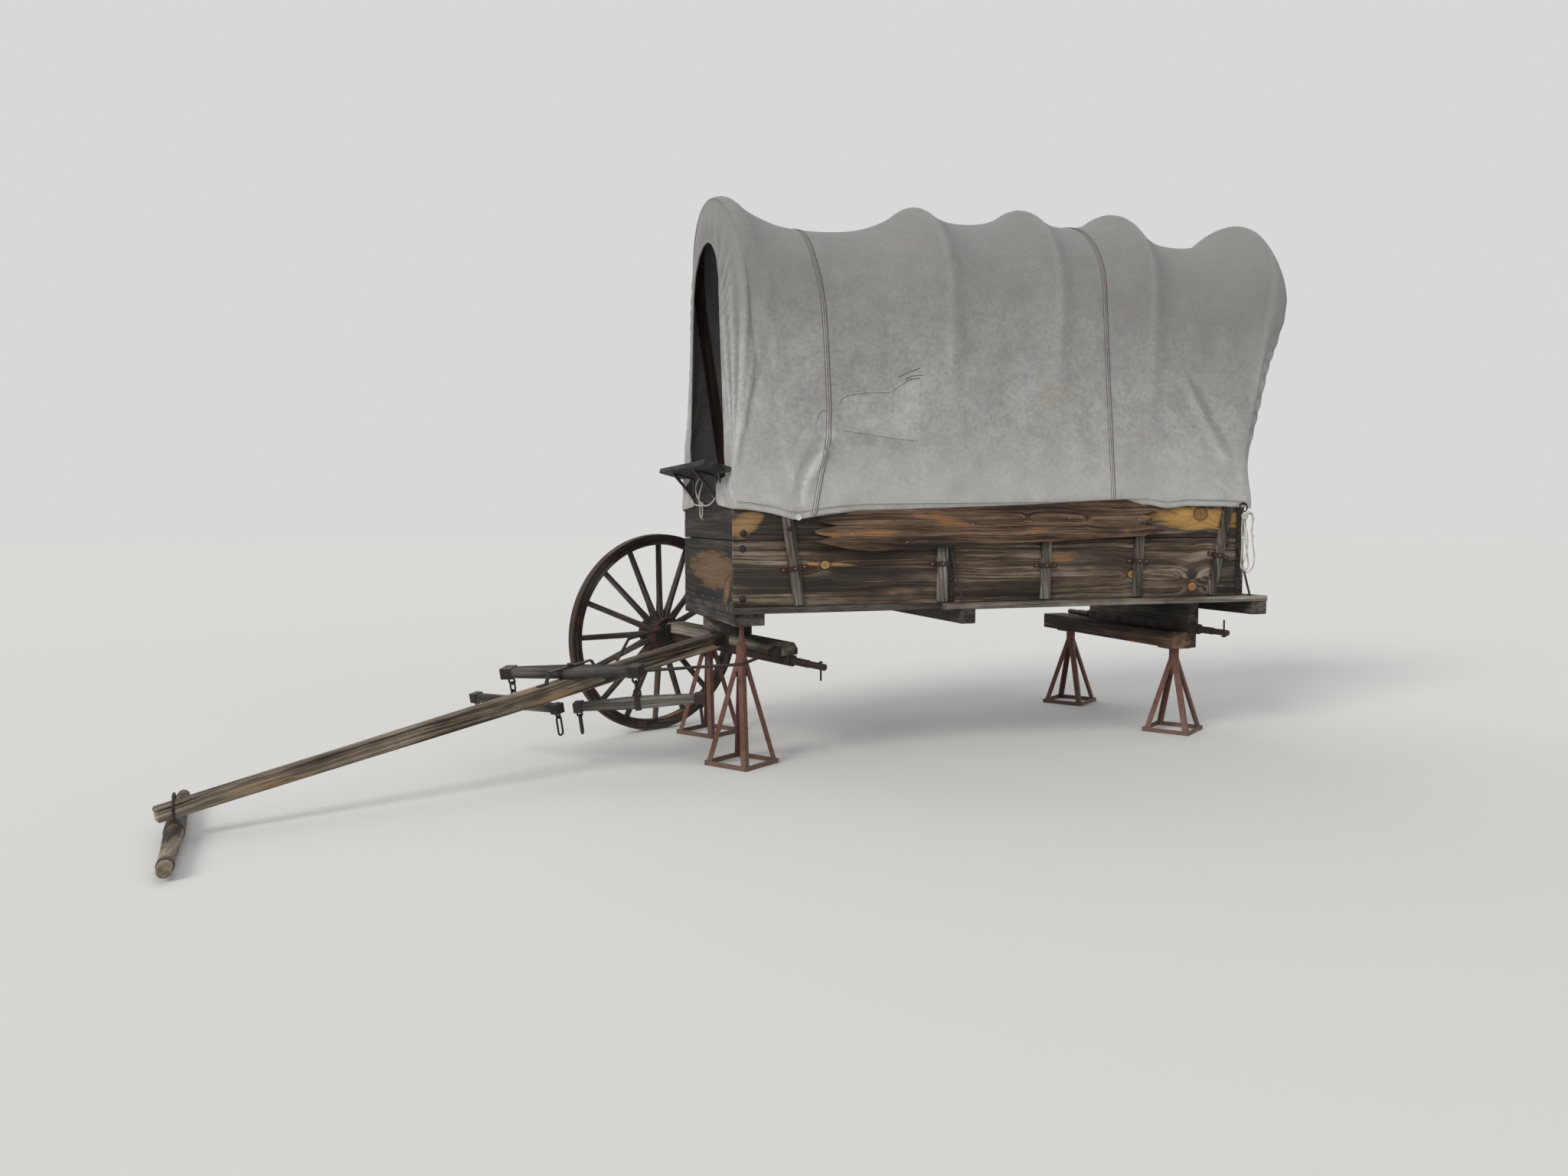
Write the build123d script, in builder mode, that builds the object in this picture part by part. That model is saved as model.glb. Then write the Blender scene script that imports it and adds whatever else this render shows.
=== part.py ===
from build123d import *
import os
from math import cos, hypot, radians, sin, tan

os.makedirs("parts", exist_ok=True)

# Covered farm wagon parked on four steel stands, with one front wheel on and three bare spindles.
# +X is the wagon's front, +Y its left side, which carries the sign, and +Z is up from the ground.
# X is counted from the middle of the box. Sizes are in millimetres.

# Box
BOX_LENGTH = 3100.0
BOX_WIDTH = 1055.0
PLANK = 27.0
LOWER_PLANK = 335.0
UPPER_PLANK = 250.0
PLANK_GAP = 4.0
FLOOR_BOTTOM = 780.0
FLOOR = 32.0
FLOOR_LIP = 30.0
FLOOR_TAIL = 100.0
FLOOR_BOARDS = 6
BOARD_GROOVE = 4.0

# Timbers under the floor
RAIL_WIDTH = 62.0
RAIL_PAST_TIMBER = 127.0
FRONT_TIMBER_WIDTH = 165.0
FRONT_TIMBER_DEPTH = 62.0
MID_TIMBER_BACK = 1264.0
MID_TIMBER_WIDTH = 86.0
CROSS_DEPTH = 76.0
REAR_TIMBER_WIDTH = 108.0
BOLSTER_WIDTH = 72.0
BOLSTER_LENGTH = 1000.0

# Running gear
REAR_AXLE_AHEAD = 318.0
REAR_AXLE_Z = 622.0
KINGPIN_BACK = 112.0
KINGPIN = 12.0
STEER = 22.5
TILT = 2.5
AXLE_BAR = 50.0
COLLAR_AT = 547.0
COLLAR_RADIUS = 30.0
COLLAR_WIDTH = 12.0
JOURNAL = 20.0
JOURNAL_LENGTH = 120.0
TIP_JOURNAL = 17.0
SPINDLE_LENGTH = 240.0
LINCHPIN = 5.0
LINCHPIN_LENGTH = 96.0
AXLE_TIMBER_LENGTH = 1050.0
AXLE_TIMBER_WIDTH = 110.0
AXLE_TIMBER_DEPTH = 60.0
RUN_CLEAR = 0.05

# Wheel
TYRE_RADIUS = 584.0
TYRE_WIDTH = 48.0
TYRE = 11.0
FELLOE = 50.0
HUB_RADIUS = 98.0
HUB_END_RADIUS = 78.0
HUB_LENGTH = 194.0
SPOKES = 16
SPOKE_WIDTH = 36.0
SPOKE_DEPTH = 44.0
FELLOES = 8
DISH = 4.0

# Tongue and what it carries
HINGE_AHEAD = 105.0
HINGE_UP = 40.0
HINGE_PIN = 10.0
TONGUE_LENGTH = 2746.0
TONGUE_ROOT = 78.0
TONGUE_TIP = 58.0
TONGUE_STRAIGHT = 1000.0
TONGUE_SLOPE = 10.3
BRACE_EYE_AT = 490.0
BRACE_ROD = 8.0
DOUBLETREE_AT = 870.0
DOUBLETREE_LENGTH = 760.0
DOUBLETREE_WIDTH = 94.0
DOUBLETREE_END = 64.0
DOUBLETREE_DEPTH = 46.0
DOUBLETREE_SWING = 31.0
DOUBLETREE_PIN = 9.0
WEAR_PLATE = 5.0
HANG_AT = 345.0
SINGLETREE_LENGTH = 640.0
SINGLETREE_DEPTH = 58.0
SINGLETREE_END = 38.0
SINGLETREE_WIDTH = 46.0
NEAR_SINGLETREE_SWING = 43.0
FAR_SINGLETREE_SWING = 14.0
YOKE_BEFORE_TIP = 70.0
YOKE_LENGTH = 1200.0
YOKE_RADIUS = 35.0
YOKE_END_RADIUS = 25.0
YOKE_TURN = 7.0

# Stands
PROP_WIDTH = 165.0
PROP_DEPTH = 95.0
PROP_NEAR_Y = 450.0
PROP_FAR_Y = -950.0
FOOT_RADIUS = 185.0
FOOT_TURN = 80.0
ANGLE_IRON = 30.0
ANGLE_WALL = 4.0

# Bows: how far behind the box's front each meets the floor, how far it leans forward, and its crown's height
BOW_BACK = [347.0, 1148.0, 1772.0, 2366.0, 2868.0]
BOW_LEAN = [309.0, -8.0, -46.0, -66.0, -470.0]
BOW_TOP = [2950.0, 2987.0, 3026.0, 3050.0, 3053.0]
BOW_WIDTH = 60.0
BOW = 16.0
STRAP_Z = [1006.0, 1020.0, 1003.0, 1020.0, 1046.0]
STRAP_HEIGHT = 24.0
STRAP = 5.0
STRAP_FOOT = 36.0

# Cover
CLOTH = 3.0
CLOTH_CLEAR = 0.0

# Sign, footboard, ropes
SIGN = 22.0
FOOTBOARD_WIDTH = 140.0
FOOTBOARD = 28.0
FOOTBOARD_TILT = 15.0
BRACKET_BAR = 6.0
ROPE = 4.0

X_FRONT = BOX_LENGTH / 2
X_REAR = -BOX_LENGTH / 2
STRETCH = BOX_LENGTH / 3100.0
KINGPIN_X = X_FRONT - KINGPIN_BACK
REAR_AXLE_X = X_REAR + REAR_AXLE_AHEAD
MID_TIMBER_X = X_FRONT - MID_TIMBER_BACK * STRETCH
RAIL_FRONT = MID_TIMBER_X + RAIL_PAST_TIMBER
BOW_BASE = [X_FRONT - back * STRETCH for back in BOW_BACK]
BOW_CROWN = [base + lean for base, lean in zip(BOW_BASE, BOW_LEAN)]
SIDE = BOX_WIDTH / 2
FLOOR_TOP = FLOOR_BOTTOM + FLOOR
LOWER_TOP = FLOOR_TOP + LOWER_PLANK
UPPER_BOTTOM = LOWER_TOP + PLANK_GAP
BOX_TOP = UPPER_BOTTOM + UPPER_PLANK
LIP_SIDE = SIDE + FLOOR_LIP
RAIL_SIDE = LIP_SIDE + RAIL_WIDTH
RAIL_REAR = X_REAR - FLOOR_TAIL
BOW_OUT = SIDE + BOW
CLOTH_IN = BOW_OUT + CLOTH_CLEAR
CLOTH_OUT = CLOTH_IN + CLOTH


# Floor and box

with BuildPart() as floor:
    with BuildSketch(Plane.YZ.offset(X_FRONT)):
        with Locations((0, FLOOR_BOTTOM + FLOOR / 2)):
            Rectangle(2 * LIP_SIDE, FLOOR)
        board = 2 * LIP_SIDE / FLOOR_BOARDS
        with Locations((0, FLOOR_TOP)):
            with GridLocations(board, 1, FLOOR_BOARDS - 1, 1):
                Rectangle(BOARD_GROOVE, 12, mode=Mode.SUBTRACT)
        with Locations((0, FLOOR_BOTTOM)):
            with GridLocations(board, 1, FLOOR_BOARDS - 1, 1):
                Rectangle(BOARD_GROOVE, 12, mode=Mode.SUBTRACT)
    extrude(amount=-(BOX_LENGTH + FLOOR_TAIL))
floor.part.label = "floor"

with BuildPart() as side_near:
    with BuildSketch(Plane.XZ.offset(-SIDE)):
        with Locations((0, FLOOR_TOP + LOWER_PLANK / 2)):
            Rectangle(BOX_LENGTH, LOWER_PLANK)
        with Locations((0, UPPER_BOTTOM + UPPER_PLANK / 2)):
            Rectangle(BOX_LENGTH, UPPER_PLANK)
    extrude(amount=PLANK)
    chamfer(side_near.edges().filter_by(Axis.X), 3)
side_near.part.label = "side_near"

with BuildPart() as side_far:
    with BuildSketch(Plane.XZ.offset(SIDE)):
        with Locations((0, FLOOR_TOP + LOWER_PLANK / 2)):
            Rectangle(BOX_LENGTH, LOWER_PLANK)
        with Locations((0, UPPER_BOTTOM + UPPER_PLANK / 2)):
            Rectangle(BOX_LENGTH, UPPER_PLANK)
    extrude(amount=-PLANK)
    chamfer(side_far.edges().filter_by(Axis.X), 3)
side_far.part.label = "side_far"

INSIDE = BOX_WIDTH - 2 * PLANK

with BuildPart() as end_boards_front:
    with BuildSketch(Plane.YZ.offset(X_FRONT)):
        with Locations((0, FLOOR_TOP + LOWER_PLANK / 2)):
            Rectangle(INSIDE, LOWER_PLANK)
        with Locations((0, UPPER_BOTTOM + UPPER_PLANK / 2)):
            Rectangle(INSIDE, UPPER_PLANK)
    extrude(amount=-PLANK)
    chamfer(end_boards_front.edges().filter_by(Axis.Y), 3)
end_boards_front.part.label = "end_boards_front"

with BuildPart() as end_boards_rear:
    with BuildSketch(Plane.YZ.offset(X_REAR)):
        with Locations((0, FLOOR_TOP + LOWER_PLANK / 2)):
            Rectangle(INSIDE, LOWER_PLANK)
        with Locations((0, UPPER_BOTTOM + UPPER_PLANK / 2)):
            Rectangle(INSIDE, UPPER_PLANK)
    extrude(amount=PLANK)
    chamfer(end_boards_rear.edges().filter_by(Axis.Y), 3)
end_boards_rear.part.label = "end_boards_rear"

# Cleats hold the planks of each corner and side together from the inside
CLEAT = 40.0
CLEAT_AT = [X_FRONT - PLANK - CLEAT / 2, MID_TIMBER_X, X_REAR + PLANK + CLEAT / 2]

with BuildPart() as cleats:
    for cleat_x in CLEAT_AT:
        with BuildSketch(Plane.XY.offset(FLOOR_TOP)):
            with Locations((cleat_x, INSIDE / 2 - CLEAT / 2), (cleat_x, -INSIDE / 2 + CLEAT / 2)):
                Rectangle(CLEAT, CLEAT)
        extrude(amount=BOX_TOP - FLOOR_TOP - 10)
    chamfer(cleats.edges().filter_by(Axis.Z), 3)
cleats.part.label = "cleats"

# Rails lie outside the floor on the ends of the middle and rear cross timbers

with BuildPart() as rail_near:
    with BuildSketch(Plane.XZ.offset(-RAIL_SIDE)):
        with Locations(((RAIL_FRONT + RAIL_REAR) / 2, FLOOR_BOTTOM + FLOOR / 2)):
            Rectangle(RAIL_FRONT - RAIL_REAR, FLOOR)
    extrude(amount=RAIL_WIDTH)
    chamfer(rail_near.edges().filter_by(Axis.X), 3)
rail_near.part.label = "rail_near"

with BuildPart() as rail_far:
    with BuildSketch(Plane.XZ.offset(RAIL_SIDE)):
        with Locations(((RAIL_FRONT + RAIL_REAR) / 2, FLOOR_BOTTOM + FLOOR / 2)):
            Rectangle(RAIL_FRONT - RAIL_REAR, FLOOR)
    extrude(amount=-RAIL_WIDTH)
    chamfer(rail_far.edges().filter_by(Axis.X), 3)
rail_far.part.label = "rail_far"

with BuildPart() as cross_timber_front:
    with BuildSketch(Plane.XY.offset(FLOOR_BOTTOM)):
        with Locations((X_FRONT - FRONT_TIMBER_WIDTH / 2, 0)):
            Rectangle(FRONT_TIMBER_WIDTH, BOX_WIDTH)
        with Locations((KINGPIN_X, 0)):
            Circle(KINGPIN + RUN_CLEAR, mode=Mode.SUBTRACT)
    extrude(amount=-FRONT_TIMBER_DEPTH)
cross_timber_front.part.label = "cross_timber_front"

with BuildPart() as cross_timber_middle:
    with BuildSketch(Plane.XY.offset(FLOOR_BOTTOM)):
        with Locations((MID_TIMBER_X, 0)):
            Rectangle(MID_TIMBER_WIDTH, 2 * RAIL_SIDE - 10)
    extrude(amount=-CROSS_DEPTH)
    chamfer(cross_timber_middle.edges().filter_by(Axis.Y).sort_by(Axis.Z)[:2], 4)
cross_timber_middle.part.label = "cross_timber_middle"

with BuildPart() as cross_timber_rear:
    with BuildSketch(Plane.XY.offset(FLOOR_BOTTOM)):
        with Locations((RAIL_REAR + REAR_TIMBER_WIDTH / 2, 0)):
            Rectangle(REAR_TIMBER_WIDTH, 2 * RAIL_SIDE - 10)
    extrude(amount=-CROSS_DEPTH)
    chamfer(cross_timber_rear.edges().filter_by(Axis.Y).sort_by(Axis.Z)[:2], 4)
cross_timber_rear.part.label = "cross_timber_rear"


# Rear axle: a timber bolster on an iron bar that ends in bare spindles

AXLE_TOP = REAR_AXLE_Z + AXLE_BAR / 2

with BuildPart() as bolster_rear:
    with BuildSketch(Plane.XY.offset(FLOOR_BOTTOM)):
        with Locations((REAR_AXLE_X, 0)):
            Rectangle(BOLSTER_WIDTH, BOLSTER_LENGTH)
    extrude(amount=-(FLOOR_BOTTOM - AXLE_TOP))
bolster_rear.part.label = "bolster_rear"


def axle_iron(middle, along, forward):
    # Square bar, collars and stepped spindles, about the axle's middle point
    bar_plane = Plane(origin=middle, x_dir=forward, z_dir=along)
    with BuildPart() as iron:
        with BuildSketch(bar_plane.offset(-COLLAR_AT)):
            Rectangle(AXLE_BAR, AXLE_BAR)
        extrude(amount=2 * COLLAR_AT)
        for end in (bar_plane, Plane(origin=middle, x_dir=forward, z_dir=-along)):
            with BuildSketch(end.offset(COLLAR_AT - COLLAR_WIDTH)):
                Circle(COLLAR_RADIUS)
            extrude(amount=COLLAR_WIDTH)
            with BuildSketch(end.offset(COLLAR_AT)):
                Circle(JOURNAL)
            extrude(amount=JOURNAL_LENGTH)
            with BuildSketch(end.offset(COLLAR_AT + JOURNAL_LENGTH)):
                Circle(TIP_JOURNAL)
            extrude(amount=SPINDLE_LENGTH - JOURNAL_LENGTH)
    return iron.part


def linchpin_iron(middle, along, tail):
    # A pin through the spindle's tip, its tail up (1) or down (-1) and its square head at the other end
    at = middle + along * (COLLAR_AT + SPINDLE_LENGTH - 28)
    with BuildPart() as pin:
        with BuildSketch(Plane.XY.offset(at.Z - tail * (TIP_JOURNAL + 8))):
            with Locations((at.X, at.Y)):
                Circle(LINCHPIN)
        extrude(amount=tail * LINCHPIN_LENGTH)
        with BuildSketch(Plane.XY.offset(at.Z - tail * (TIP_JOURNAL + 1))):
            with Locations((at.X, at.Y)):
                Rectangle(16, 16)
        extrude(amount=-tail * 8)
    return pin.part


REAR_MIDDLE = Vector(REAR_AXLE_X, 0, REAR_AXLE_Z)

with BuildPart() as axle_rear:
    add(axle_iron(REAR_MIDDLE, Vector(0, 1, 0), Vector(1, 0, 0)))
    add(linchpin_iron(REAR_MIDDLE, Vector(0, 1, 0), 1))
axle_rear.part.label = "axle_rear"


# Stands: four angle-iron legs on a square of flat bar

def stand_iron(x, y, top, screw):
    collar_top = top - 106 if screw else top
    with BuildPart() as stand:
        with BuildSketch(Plane.XY.offset(collar_top)):
            with Locations((x, y)):
                Circle(28)
        extrude(amount=-160)
        if screw:
            with BuildSketch(Plane.XY.offset(collar_top)):
                with Locations((x, y)):
                    Circle(13)
            extrude(amount=top - collar_top)
            with BuildSketch(Plane.XY.offset(collar_top)):
                with Locations((x, y)):
                    RegularPolygon(24, 6)
            extrude(amount=18)
            with BuildSketch(Plane.XY.offset(top - 8)):
                with Locations((x, y)):
                    Rectangle(80, 80)
            extrude(amount=8)
        else:
            with BuildSketch(Plane.XY.offset(top - 8)):
                with Locations((x, y)):
                    Rectangle(PROP_WIDTH - 20, 110)
            extrude(amount=8)
        for turn in range(4):
            way = radians(FOOT_TURN + 90 * turn)
            out = Vector(cos(way), sin(way), 0)
            foot = Vector(x, y, 0) + out * FOOT_RADIUS
            head = Vector(x, y, collar_top - 40) + out * 22
            leg = head - foot
            across = Vector(-out.Y, out.X, 0)
            with BuildSketch(Plane(origin=foot - leg * 0.1, x_dir=across, z_dir=leg)):
                with BuildLine():
                    half = ANGLE_IRON * 0.707
                    wall = ANGLE_WALL * 1.414
                    Polyline((0, 0), (half, half), (half - wall / 2, half + wall / 2), (0, wall),
                             (-half + wall / 2, half + wall / 2), (-half, half), close=True)
                make_face()
            extrude(amount=leg.length * 1.1)
            next_way = way + radians(90)
            next_foot = Vector(x, y, 0) + Vector(cos(next_way), sin(next_way), 0) * FOOT_RADIUS
            bar = next_foot - foot
            with BuildSketch(Plane(origin=foot, x_dir=bar, z_dir=Vector(0, 0, 1))):
                with Locations((bar.length / 2, 0)):
                    Rectangle(bar.length + 12, 5)
            extrude(amount=25)
        split(bisect_by=Plane.XY, keep=Keep.TOP)
    return stand.part


FRONT_JACK_TOP = FLOOR_BOTTOM - FRONT_TIMBER_DEPTH
PROP_TOP = REAR_AXLE_Z - AXLE_BAR / 2
PROP_BOTTOM = PROP_TOP - PROP_DEPTH
PROP_X = REAR_AXLE_X + 22

with BuildPart() as stand_front_near:
    add(stand_iron(X_FRONT - 66, 440, FRONT_JACK_TOP, True))
stand_front_near.part.label = "stand_front_near"

with BuildPart() as stand_front_far:
    add(stand_iron(X_FRONT - 118, -430, FRONT_JACK_TOP, True))
stand_front_far.part.label = "stand_front_far"

with BuildPart() as stand_rear_near:
    add(stand_iron(PROP_X, 360, PROP_BOTTOM, False))
stand_rear_near.part.label = "stand_rear_near"

with BuildPart() as stand_rear_far:
    add(stand_iron(PROP_X, -740, PROP_BOTTOM, False))
stand_rear_far.part.label = "stand_rear_far"

with BuildPart() as prop_beam:
    with BuildSketch(Plane.XY.offset(PROP_TOP)):
        with Locations((PROP_X, (PROP_NEAR_Y + PROP_FAR_Y) / 2)):
            Rectangle(PROP_WIDTH, PROP_NEAR_Y - PROP_FAR_Y)
    extrude(amount=-PROP_DEPTH)
    chamfer(prop_beam.edges().filter_by(Axis.Y), 5)
    # Notch for the axle's collar
    with BuildSketch(Plane.XZ.offset(COLLAR_AT - COLLAR_WIDTH - 1)):
        with Locations((REAR_AXLE_X, REAR_AXLE_Z)):
            Circle(COLLAR_RADIUS + 0.5)
    extrude(amount=COLLAR_WIDTH + 2, mode=Mode.SUBTRACT)
prop_beam.part.label = "prop_beam"


# Bows: bent wooden hoops outside the box, held in iron straps

def bow_plane(base_x, crown_x, crown_z):
    # Leaning plane through the bow: local x is the wagon's +Y, local y climbs the bow
    climb = Vector(crown_x - base_x, 0, crown_z - FLOOR_TOP)
    return Plane(origin=(base_x, 0, FLOOR_TOP), x_dir=(0, 1, 0), z_dir=Vector(0, 1, 0).cross(climb)), climb.length


def bow_hoop(index):
    plane, height = bow_plane(BOW_BASE[index], BOW_CROWN[index], BOW_TOP[index])
    shoulder = height - BOW_OUT
    with BuildPart() as hoop:
        with BuildSketch(plane):
            with BuildLine():
                Line((SIDE, 6), (SIDE, shoulder))
                ThreePointArc((SIDE, shoulder), (0, shoulder + SIDE), (-SIDE, shoulder))
                Line((-SIDE, shoulder), (-SIDE, 6))
                Line((-SIDE, 6), (-BOW_OUT, 6))
                Line((-BOW_OUT, 6), (-BOW_OUT, shoulder))
                ThreePointArc((-BOW_OUT, shoulder), (0, shoulder + BOW_OUT), (BOW_OUT, shoulder))
                Line((BOW_OUT, shoulder), (BOW_OUT, 6))
                Line((BOW_OUT, 6), (SIDE, 6))
            make_face()
        extrude(amount=BOW_WIDTH / 2, both=True)
        split(bisect_by=Plane.XY.offset(FLOOR_TOP), keep=Keep.TOP)
    return hoop.part


with BuildPart() as bow_1:
    add(bow_hoop(0))
bow_1.part.label = "bow_1"

with BuildPart() as bow_2:
    add(bow_hoop(1))
bow_2.part.label = "bow_2"

with BuildPart() as bow_3:
    add(bow_hoop(2))
bow_3.part.label = "bow_3"

with BuildPart() as bow_4:
    add(bow_hoop(3))
bow_4.part.label = "bow_4"

with BuildPart() as bow_5:
    add(bow_hoop(4))
bow_5.part.label = "bow_5"

# Side braces: an iron plate up the box and a rod from it down to the rail

BRACE_X = [BOW_BASE[1] - 55, X_REAR + 38]
BRACE_PLATE = 5.0

with BuildPart() as side_braces:
    for brace_x in BRACE_X:
        with BuildSketch(Plane.XZ.offset(-SIDE)):
            with Locations((brace_x, (FLOOR_TOP + BOX_TOP) / 2)):
                Rectangle(36, BOX_TOP - FLOOR_TOP)
        extrude(amount=-BRACE_PLATE)
        head = Vector(brace_x + 2, SIDE + 9, LOWER_TOP - 70)
        foot = Vector(brace_x - 38, LIP_SIDE + RAIL_WIDTH / 2, FLOOR_TOP + 4)
        with BuildSketch(Plane(origin=foot, z_dir=head - foot)):
            Circle(6)
        extrude(amount=(head - foot).length)
        with BuildSketch(Plane.XY.offset(FLOOR_TOP)):
            with Locations((foot.X, foot.Y)):
                Circle(14)
        extrude(amount=7)
        with BuildSketch(Plane.XZ.offset(-SIDE)):
            with Locations((head.X, head.Z)):
                Circle(13)
        extrude(amount=-12)
    mirror(about=Plane.XZ)
side_braces.part.label = "side_braces"


with BuildPart() as bow_straps:
    inner = BOW_WIDTH / 2 + 1
    rise = BOW + 0.5
    for index in range(5):
        plane, height = bow_plane(BOW_BASE[index], BOW_CROWN[index], BOW_TOP[index])
        lean = (BOW_CROWN[index] - BOW_BASE[index]) / (BOW_TOP[index] - FLOOR_TOP)
        strap_x = BOW_BASE[index] + lean * (STRAP_Z[index] - FLOOR_TOP)
        climb = Vector(lean, 0, 1)
        strap_plane = Plane(origin=(strap_x, SIDE, STRAP_Z[index]), x_dir=Vector(0, 1, 0).cross(climb), z_dir=climb)
        with BuildSketch(strap_plane.offset(-STRAP_HEIGHT / 2)):
            with BuildLine():
                Polyline((-inner - STRAP - STRAP_FOOT, 0), (-inner - STRAP - STRAP_FOOT, STRAP),
                         (-inner - STRAP, STRAP), (-inner - STRAP, rise + STRAP),
                         (inner + STRAP, rise + STRAP), (inner + STRAP, STRAP),
                         (inner + STRAP + STRAP_FOOT, STRAP), (inner + STRAP + STRAP_FOOT, 0),
                         (inner, 0), (inner, rise), (-inner, rise), (-inner, 0), close=True)
            make_face()
        extrude(amount=STRAP_HEIGHT)
    mirror(about=Plane.XZ)
    add(side_braces.part, mode=Mode.SUBTRACT)
bow_straps.part.label = "bow_straps"


# Cover: cloth in three lengths, sewn at two seams, drawn over the bows

def cloth_section(base_x, crown_x, crown_z, half, hem_z):
    # A thin hoop of cloth in a leaning plane, open below at the hem
    climb = Vector(crown_x - base_x, 0, crown_z - HEM)
    plane = Plane(origin=(base_x, 0, HEM), x_dir=(0, 1, 0), z_dir=Vector(0, 1, 0).cross(climb))
    low = (hem_z - HEM) * climb.length / (crown_z - HEM)
    shoulder = climb.length - half
    with BuildSketch(plane) as section:
        with BuildLine():
            Line((half, low), (half, shoulder))
            ThreePointArc((half, shoulder), (0, shoulder + half), (-half, shoulder))
            Line((-half, shoulder), (-half, low))
            Line((-half, low), (-half + CLOTH, low))
            Line((-half + CLOTH, low), (-half + CLOTH, shoulder))
            ThreePointArc((-half + CLOTH, shoulder), (0, shoulder + half - CLOTH), (half - CLOTH, shoulder))
            Line((half - CLOTH, shoulder), (half - CLOTH, low))
            Line((half - CLOTH, low), (half, low))
        make_face()
    return section.sketch


HEM = 1310.0
OVER = CLOTH_CLEAR + CLOTH


def over_bow(index, edge, hem_z):
    # The cloth's section at a bow's front edge (1) or rear edge (-1)
    lean = (BOW_CROWN[index] - BOW_BASE[index]) / (BOW_TOP[index] - FLOOR_TOP)
    slant = hypot(1, lean)
    shift = edge * (BOW_WIDTH / 2 + 1)
    base_x = BOW_BASE[index] + lean * (HEM - FLOOR_TOP) + shift * slant
    crown_x = BOW_CROWN[index] + (OVER * lean + shift) / slant
    crown_z = BOW_TOP[index] + (OVER - shift * lean) / slant
    return cloth_section(base_x, crown_x, crown_z, CLOTH_OUT, hem_z)




def behind(distance):
    # Place along the box, in front of or behind its front end, that keeps its share of the box's length
    return X_FRONT - distance * STRETCH


SEAM_FRONT = (behind(450), behind(490), 2838.0, CLOTH_OUT, 1282.0)
SEAM_REAR = (behind(2200), behind(2170), 2966.0, CLOTH_OUT, 1322.0)

FLAP_X = X_FRONT + BRACKET_BAR
FOLD_X = FLAP_X + CLOTH + 1
FOLD_TOP = BOX_TOP + 72
FACE_X = X_FRONT + 4
FACE_TOP = 2926.0
ARCH_FOOT = 392.0
ARCH_SHOULDER = 280.0
ARCH_SHOULDER_Z = 2430.0
ARCH_TOP = 2705.0
RING_BOLT = (X_REAR + 50, 1343.0)
RING_BOLT_RADIUS = 4.5

with BuildPart() as cover_front:
    add(cloth_section(FACE_X, FACE_X, FACE_TOP, CLOTH_OUT, 1306.0))
    add(over_bow(0, 1, 1262.0))
    add(over_bow(0, -1, 1262.0))
    add(cloth_section(*SEAM_FRONT))
    loft(ruled=True)
    # Front face, drawn in to an arch between the corners
    with BuildSketch(Plane.YZ.offset(FACE_X)):
        with BuildLine():
            Line((CLOTH_OUT, FOLD_TOP), (CLOTH_OUT, FACE_TOP - CLOTH_OUT))
            ThreePointArc((CLOTH_OUT, FACE_TOP - CLOTH_OUT), (0, FACE_TOP), (-CLOTH_OUT, FACE_TOP - CLOTH_OUT))
            Line((-CLOTH_OUT, FACE_TOP - CLOTH_OUT), (-CLOTH_OUT, FOLD_TOP))
            Line((-CLOTH_OUT, FOLD_TOP), (-ARCH_FOOT, FOLD_TOP))
            Line((-ARCH_FOOT, FOLD_TOP), (-ARCH_SHOULDER, ARCH_SHOULDER_Z))
            ThreePointArc((-ARCH_SHOULDER, ARCH_SHOULDER_Z), (0, ARCH_TOP), (ARCH_SHOULDER, ARCH_SHOULDER_Z))
            Line((ARCH_SHOULDER, ARCH_SHOULDER_Z), (ARCH_FOOT, FOLD_TOP))
            Line((ARCH_FOOT, FOLD_TOP), (CLOTH_OUT, FOLD_TOP))
        make_face()
    extrude(amount=-CLOTH)
    # Corners that reach the flaps below the footboard
    with BuildSketch(Plane.YZ.offset(FACE_X)):
        with Locations((CLOTH_OUT - CLOTH / 2, (1310 + FOLD_TOP) / 2), (-CLOTH_OUT + CLOTH / 2, (1310 + FOLD_TOP) / 2)):
            Rectangle(CLOTH, FOLD_TOP - 1310)
    extrude(amount=FOLD_X - FACE_X)
cover_front.part.label = "cover_front"

with BuildPart() as cover_middle:
    add(cloth_section(*SEAM_FRONT))
    add(cloth_section(behind(720), behind(700), 2818.0, CLOTH_OUT, 1300.0))
    add(over_bow(1, 1, 1308.0))
    add(over_bow(1, -1, 1308.0))
    add(cloth_section(behind(1460), behind(1490), 2930.0, CLOTH_OUT, 1308.0))
    add(over_bow(2, 1, 1312.0))
    add(over_bow(2, -1, 1312.0))
    add(cloth_section(behind(2060), behind(2090), 2962.0, CLOTH_OUT, 1318.0))
    add(cloth_section(*SEAM_REAR))
    loft(ruled=True)
cover_middle.part.label = "cover_middle"

with BuildPart() as cover_rear:
    add(cloth_section(*SEAM_REAR))
    add(over_bow(3, 1, 1326.0))
    add(over_bow(3, -1, 1326.0))
    add(cloth_section(behind(2660), behind(2900), 2905.0, CLOTH_OUT, 1322.0))
    add(over_bow(4, 1, 1330.0))
    add(over_bow(4, -1, 1330.0))
    add(cloth_section(behind(3100), behind(3440), 2950.0, CLOTH_OUT - 3, 1322.0))
    add(cloth_section(behind(3135), behind(3485), 2700.0, CLOTH_OUT - 22, 1322.0))
    loft(ruled=True)
    with BuildSketch(Plane.XZ.offset(-(CLOTH_OUT + 20))):
        with Locations(RING_BOLT):
            Circle(RING_BOLT_RADIUS)
    extrude(amount=60, mode=Mode.SUBTRACT)
cover_rear.part.label = "cover_rear"

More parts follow.
